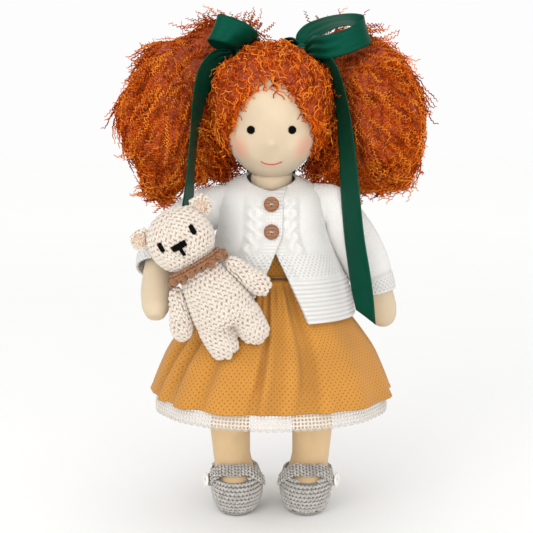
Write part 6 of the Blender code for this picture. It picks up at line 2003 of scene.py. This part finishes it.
def make_shoes():
    s = sizes()
    for side, label in ((1, "left"), (-1, "right")):
        # The base under the shoe's stitches carries painted shade between them.
        upper = refined(f"shoe_{label}_base", f"shoe_upper_{label}", 0.0013, 6, -0.0007, finish("shoe_gap_shade"))
        stuff(upper, f"{label}_leg", "grey_crochet", f"shoe_upper_{label}")
        cover_with_stitches(
            f"shoe_{label}_stitches", upper, (0, 0, 1), s.shoe_stitch, s.shoe_stitch * 0.95,
            knobbly_stitches(s.shoe_stitch), "shoe", f"{label}_leg", "grey_crochet", 43 + side,
        )
        sole = refined(f"sole_{label}_cloth", f"shoe_sole_{label}", 0.0009, 4, 0.0, finish("sole"))
        stuff(sole, f"{label}_leg", "grey_crochet", f"shoe_sole_{label}")
        # The base under the strap's stitches carries painted shade between them.
        strap = refined(f"strap_{label}_base", f"shoe_strap_{label}", 0.0007, 5, -0.0003, finish("shoe_gap_shade"))
        hand_over(strap, f"{label}_strap", "grey_crochet", f"shoe_strap_{label}")
        cover_with_stitches(
            f"strap_{label}_stitches", strap, (1, 0, 0.1), s.shoe_stitch * 0.85, s.shoe_stitch * 0.80,
            knobbly_stitches(s.shoe_stitch * 0.85), "shoe", f"{label}_strap", "grey_crochet", 47 + side,
        )
        node = f"shoe_button_{label}"
        paint_node(node, "plastic")
        out = (side * 0.94, -0.10, 0.30)
        holding_thread(f"{node}_thread", node, out, (0.0, 0.3, 1.0), 0.0030, f"{label}_strap")


# Bear

BEAR_UP = (-0.5, 0.0, 0.866)
BEAR_RIGHT = (0.866, 0.0, 0.5)


def make_bear():
    stitch = sizes().bear_stitch
    shapes = v_stitches(stitch, stitch * 0.95)
    parts = (
        ("bear_body", "toy_bear", 0.0016, BEAR_UP), ("bear_head", "toy_bear", 0.0015, BEAR_UP),
        ("bear_arm_left", "bear_left_arm", 0.0012, (0.86, 0.0, -0.5)),
        ("bear_arm_right", "bear_right_arm", 0.0012, BEAR_UP),
    )
    for number, (node, body, voxel, up) in enumerate(parts):
        # The base under the stitches carries painted shade between them.
        base = refined(f"{node}_base", node, voxel, 10, -0.0010, finish("bear_gap_shade"))
        stuff(base, body, "cream_crochet", node)
        cover_with_stitches(f"{node}_stitches", base, up, stitch, stitch * 0.90, shapes, "bear", body,
                            "cream_crochet", 51 + number)
    for number, label in enumerate(("left", "right")):
        node = f"bear_ear_{label}"
        # The base under the ear's stitches carries painted shade between them.
        base = refined(f"{node}_base", node, 0.0009, 6, -0.0006, finish("bear_gap_shade"))
        stuff(base, "toy_bear", "cream_crochet", node)
        small = stitch * 0.82
        cover_with_stitches(f"{node}_stitches", base, BEAR_UP, small, small * 0.9,
                            v_stitches(small, small * 0.95), "bear", "toy_bear", "cream_crochet", 57 + number)
        make_ear_centre(node, base)


def make_ear_centre(node, base):
    """Loose tan yarn in the middle of a bear's ear."""
    tree = tree_of(*arrays(base.data))
    centre = middle(node)
    random = np.random.default_rng(58)
    right = np.array(BEAR_RIGHT)
    up = np.array(BEAR_UP)
    runs = []
    for k in range(46):
        turn = k * 2.39996
        reach = 0.0043 * math.sqrt((k + 0.5) / 46)
        place = centre - up * 0.0008 + right * math.cos(turn) * reach + up * math.sin(turn) * reach
        way = random.uniform(0, 2 * math.pi)
        step = right * math.cos(way) + up * math.sin(way)
        centres = []
        for share in np.linspace(-1, 1, 6):
            at = place + step * share * 0.0017 + up * 0.0006 * math.sin(share * 3)
            hit = tree.ray_cast(Vector(at + np.array((0, -0.03, 0))), Vector((0, 1, 0)))[0]
            y = hit.y if hit is not None else at[1] - 0.002
            centres.append((at[0], y - 0.0010 - 0.0007 * math.cos(share * 1.4), at[2]))
        runs.append((centres, np.full(6, 0.00050), 4, (0, 1, 0)))
    fluff = tubes_piece(f"{node}_tan", runs, finish("tan"))
    store_values(fluff, tone=np.repeat(random.uniform(0, 1, len(runs)), 24))
    hand_over(fluff, "toy_bear", "brown_crochet")


def thread_over(tree, start, end, lift, radius):
    """A stitch laid over a surface seen from the front."""
    steps = 9
    centres = []
    for share in np.linspace(0, 1, steps):
        at = np.array(start) * (1 - share) + np.array(end) * share
        hit = tree.ray_cast(Vector((at[0], at[1] - 0.04, at[2])), Vector((0, 1, 0)))[0]
        y = hit.y if hit is not None else at[1]
        centres.append((at[0], y - lift * math.sin(math.pi * min(max(share, 0.08), 0.92)), at[2]))
    radii = radius * np.array([0.7] + [1.0] * (steps - 2) + [0.7])
    return centres, radii, 6, (0.0, 0.0, 1.0)


def make_bear_face():
    tree = tree_of(*cad_mesh("bear_head"))
    up = np.array(BEAR_UP)
    right = np.array(BEAR_RIGHT)
    for label in ("left", "right"):
        centre = middle(f"bear_eye_{label}")
        runs = []
        for k in (-1.5, -0.5, 0.5, 1.5):
            half = 0.0043 - 0.0005 * abs(k)
            start = centre + right * k * 0.00085 - up * half
            end = centre + right * k * 0.00085 + up * half
            runs.append(thread_over(tree, start, end, 0.0016, 0.00062))
        eye = tubes_piece(f"bear_eye_{label}_thread", runs, finish("eye"))
        hand_over(eye, "toy_bear", "black_thread", f"bear_eye_{label}")
    centre = middle("bear_nose") + up * 0.0028
    runs = []
    for k in range(5):
        lift = 0.0022 - k * 0.00096
        half = 0.0064 * (0.94, 1.0, 1.0, 0.98, 0.92)[k]
        at = centre + up * lift
        runs.append(thread_over(tree, at - right * half, at + right * half, 0.0018, 0.00058))
    for shift in (-0.0009, 0.0, 0.0009):
        at = centre + right * shift
        runs.append(thread_over(tree, at - up * 0.0010, at - up * 0.0082, 0.0016, 0.00060))
    nose = tubes_piece("bear_nose_thread", runs, finish("eye"))
    hand_over(nose, "toy_bear", "black_thread", "bear_nose")


def make_bear_collar():
    stitch = sizes().bear_stitch * 0.72
    # The base under the collar's stitches carries painted shade between them.
    base = refined("bear_collar_base", "bear_collar", 0.0010, 4, -0.0005, finish("collar_gap_shade"))
    hand_over(base, "toy_bear", "brown_crochet", "bear_collar")
    cover_with_stitches("bear_collar_stitches", base, BEAR_UP, stitch, stitch * 0.9, knobbly_stitches(stitch),
                        "collar", "toy_bear", "brown_crochet", 61)
    tree = tree_of(*cad_mesh("bear_collar"))
    up = unit(np.array(BEAR_UP))
    right = np.array(BEAR_RIGHT)
    centre = middle("bear_collar") - up * 0.0022
    random = np.random.default_rng(62)
    runs = []
    count = 15
    for k in range(count):
        turn = (k + 0.5) * 2 * math.pi / count
        away = right * math.sin(turn) + np.array((0.0, -1.0, 0.0)) * math.cos(turn)
        hit = tree.ray_cast(Vector(centre + away * 0.06), Vector(-away))[0]
        if hit is None:
            continue
        ball = np.array(hit) + away * 0.0016 - up * (0.0012 if k % 2 else -0.0004)
        for _ in range(9):
            first = unit(random.normal(size=3))
            second = unit(np.cross(first, random.normal(size=3)))
            angles = np.linspace(0, 1.5 * math.pi, 8)
            ring = ball + 0.0026 * (np.cos(angles)[:, None] * first + np.sin(angles)[:, None] * second)
            runs.append((ring, np.full(8, 0.00095), 5, away))
    bobbles = tubes_piece("bear_collar_bobbles", runs, finish("collar"))
    hand_over(bobbles, "toy_bear", "brown_crochet")


# Stage

def make_stage():
    scene = bpy.context.scene
    scene.view_settings.view_transform = "Standard"
    target = Vector((-0.0049, 0.0010, 0.2050))
    distance = 1.0
    rise = math.radians(8.0)
    camera = bpy.data.cameras.new("photo view")
    camera.sensor_fit = "HORIZONTAL"
    camera.sensor_width = 36.0
    camera.lens = 36.0 * distance / (PHOTO_SIZE * METRES_PER_PIXEL)
    camera.clip_start = 0.02
    view = bpy.data.objects.new("photo view", camera)
    view.location = target + Vector((0.0, -math.cos(rise), math.sin(rise))) * distance
    view.rotation_euler = (math.pi / 2 - rise, 0.0, 0.0)
    scene.collection.objects.link(view)
    scene.camera = view
    steps = np.linspace(-6, 6, 25)
    level = np.stack((*np.meshgrid(steps, steps), np.full((25, 25), -0.0002)), -1)
    floor = grid_piece("floor_sheet", level, lengths_uv(level, False), False, finish("floor"))
    world = bpy.data.worlds.new("pale room")
    scene.world = world
    world.use_nodes = True
    background = next(node for node in world.node_tree.nodes if node.type == "BACKGROUND")
    background.inputs["Color"].default_value = (1.0, 1.0, 1.0, 1.0)
    background.inputs["Strength"].default_value = 0.98
    for name, place, size, power in (
        ("window", (-0.70, -1.25, 0.95), 1.0, 6.0),
        ("card", (0.45, -1.50, 0.30), 1.4, 7.2),
        ("low card", (0.05, -1.10, 0.13), 0.24, 0.70),
        ("top", (0.10, 0.35, 1.60), 1.3, 0.9),
    ):
        light = bpy.data.lights.new(name, "AREA")
        light.shape = "DISK"
        light.size = size
        light.energy = power
        lamp = bpy.data.objects.new(name, light)
        lamp.location = place
        lamp.rotation_euler = (Vector(place) - Vector((0, 0, 0.2))).to_track_quat("Z", "Y").to_euler()
        scene.collection.objects.link(lamp)


# Operators

class DOLL_OT_stage(bpy.types.Operator):
    """Adds the camera, the pale floor and the soft lights"""
    bl_idname = "doll.stage"
    bl_label = "Stage"

    def execute(self, context):
        make_stage()
        return {"FINISHED"}


class DOLL_OT_head(bpy.types.Operator):
    """Covers the head and the ears with jersey"""
    bl_idname = "doll.head"
    bl_label = "Head"

    def execute(self, context):
        make_head()
        return {"FINISHED"}


class DOLL_OT_limbs(bpy.types.Operator):
    """Covers the neck, torso, arms and legs with jersey"""
    bl_idname = "doll.limbs"
    bl_label = "Limbs"

    def execute(self, context):
        make_limbs()
        return {"FINISHED"}


class DOLL_OT_face(bpy.types.Operator):
    """Stitches the eyes and the mouth"""
    bl_idname = "doll.face"
    bl_label = "Face"

    def execute(self, context):
        make_face()
        return {"FINISHED"}


class DOLL_OT_cap(bpy.types.Operator):
    """Covers the crown with small curls of hair"""
    bl_idname = "doll.hair_cap"
    bl_label = "Hair Cap"

    def execute(self, context):
        make_cap()
        return {"FINISHED"}


class DOLL_OT_pigtails(bpy.types.Operator):
    """Combs crimped strands over both pigtails"""
    bl_idname = "doll.pigtails"
    bl_label = "Pigtails"

    def execute(self, context):
        make_pigtails()
        return {"FINISHED"}


class DOLL_OT_bows(bpy.types.Operator):
    """Ties the satin bows and their tails"""
    bl_idname = "doll.bows"
    bl_label = "Bows"

    def execute(self, context):
        make_bows()
        return {"FINISHED"}


class DOLL_OT_dress(bpy.types.Operator):
    """Sews the dotted dress: its bodice and its gathered skirt"""
    bl_idname = "doll.dress"
    bl_label = "Dress"

    def execute(self, context):
        make_skirt()
        make_bodice()
        return {"FINISHED"}


class DOLL_OT_petticoat(bpy.types.Operator):
    """Sews the white petticoat and its lace edge"""
    bl_idname = "doll.petticoat"
    bl_label = "Petticoat"

    def execute(self, context):
        make_petticoat()
        return {"FINISHED"}


class DOLL_OT_cardigan(bpy.types.Operator):
    """Knits the cardigan's body"""
    bl_idname = "doll.cardigan"
    bl_label = "Cardigan"

    def execute(self, context):
        make_cardigan()
        return {"FINISHED"}


class DOLL_OT_sleeves(bpy.types.Operator):
    """Knits both sleeves"""
    bl_idname = "doll.sleeves"
    bl_label = "Sleeves"

    def execute(self, context):
        make_sleeves()
        return {"FINISHED"}


class DOLL_OT_buttons(bpy.types.Operator):
    """Finishes and sews on the wooden buttons"""
    bl_idname = "doll.buttons"
    bl_label = "Buttons"

    def execute(self, context):
        make_buttons()
        return {"FINISHED"}


class DOLL_OT_shoes(bpy.types.Operator):
    """Crochets the shoes and their straps"""
    bl_idname = "doll.shoes"
    bl_label = "Shoes"

    def execute(self, context):
        make_shoes()
        return {"FINISHED"}


class DOLL_OT_bear(bpy.types.Operator):
    """Crochets the toy bear's body, head, ears and arms"""
    bl_idname = "doll.bear"
    bl_label = "Bear"

    def execute(self, context):
        make_bear()
        return {"FINISHED"}


class DOLL_OT_bear_face(bpy.types.Operator):
    """Stitches the bear's eyes, nose and mouth"""
    bl_idname = "doll.bear_face"
    bl_label = "Bear Face"

    def execute(self, context):
        make_bear_face()
        return {"FINISHED"}


class DOLL_OT_bear_collar(bpy.types.Operator):
    """Crochets the bear's brown collar"""
    bl_idname = "doll.bear_collar"
    bl_label = "Bear Collar"

    def execute(self, context):
        make_bear_collar()
        return {"FINISHED"}


OPERATORS = (
    DOLL_OT_stage, DOLL_OT_head, DOLL_OT_limbs, DOLL_OT_face, DOLL_OT_cap, DOLL_OT_pigtails, DOLL_OT_bows,
    DOLL_OT_dress, DOLL_OT_petticoat, DOLL_OT_cardigan, DOLL_OT_sleeves, DOLL_OT_buttons, DOLL_OT_shoes,
    DOLL_OT_bear, DOLL_OT_bear_face, DOLL_OT_bear_collar,
)


class DOLL_PT_panel(bpy.types.Panel):
    """Settings and steps of the cloth doll"""
    bl_idname = "DOLL_PT_panel"
    bl_label = "Cloth Doll"
    bl_space_type = "VIEW_3D"
    bl_region_type = "UI"
    bl_category = "Cloth Doll"

    def draw(self, context):
        layout = self.layout
        for settings in (colours(), sizes()):
            box = layout.box()
            for name in settings.bl_rna.properties.keys():
                if name not in ("rna_type", "name"):
                    box.prop(settings, name)
        for operator in OPERATORS:
            layout.operator(operator.bl_idname)


def register():
    for item in (DollColours, DollSizes, *OPERATORS, DOLL_PT_panel):
        bpy.utils.register_class(item)
    bpy.types.Scene.doll_colours = PointerProperty(type=DollColours)
    bpy.types.Scene.doll_sizes = PointerProperty(type=DollSizes)


def unregister():
    del bpy.types.Scene.doll_sizes
    del bpy.types.Scene.doll_colours
    for item in reversed((DollColours, DollSizes, *OPERATORS, DOLL_PT_panel)):
        bpy.utils.unregister_class(item)


def main():
    register()
    for operator in OPERATORS:
        group_name, step = operator.bl_idname.split(".")
        getattr(getattr(bpy.ops, group_name), step)()


if __name__ == "__main__":
    main()
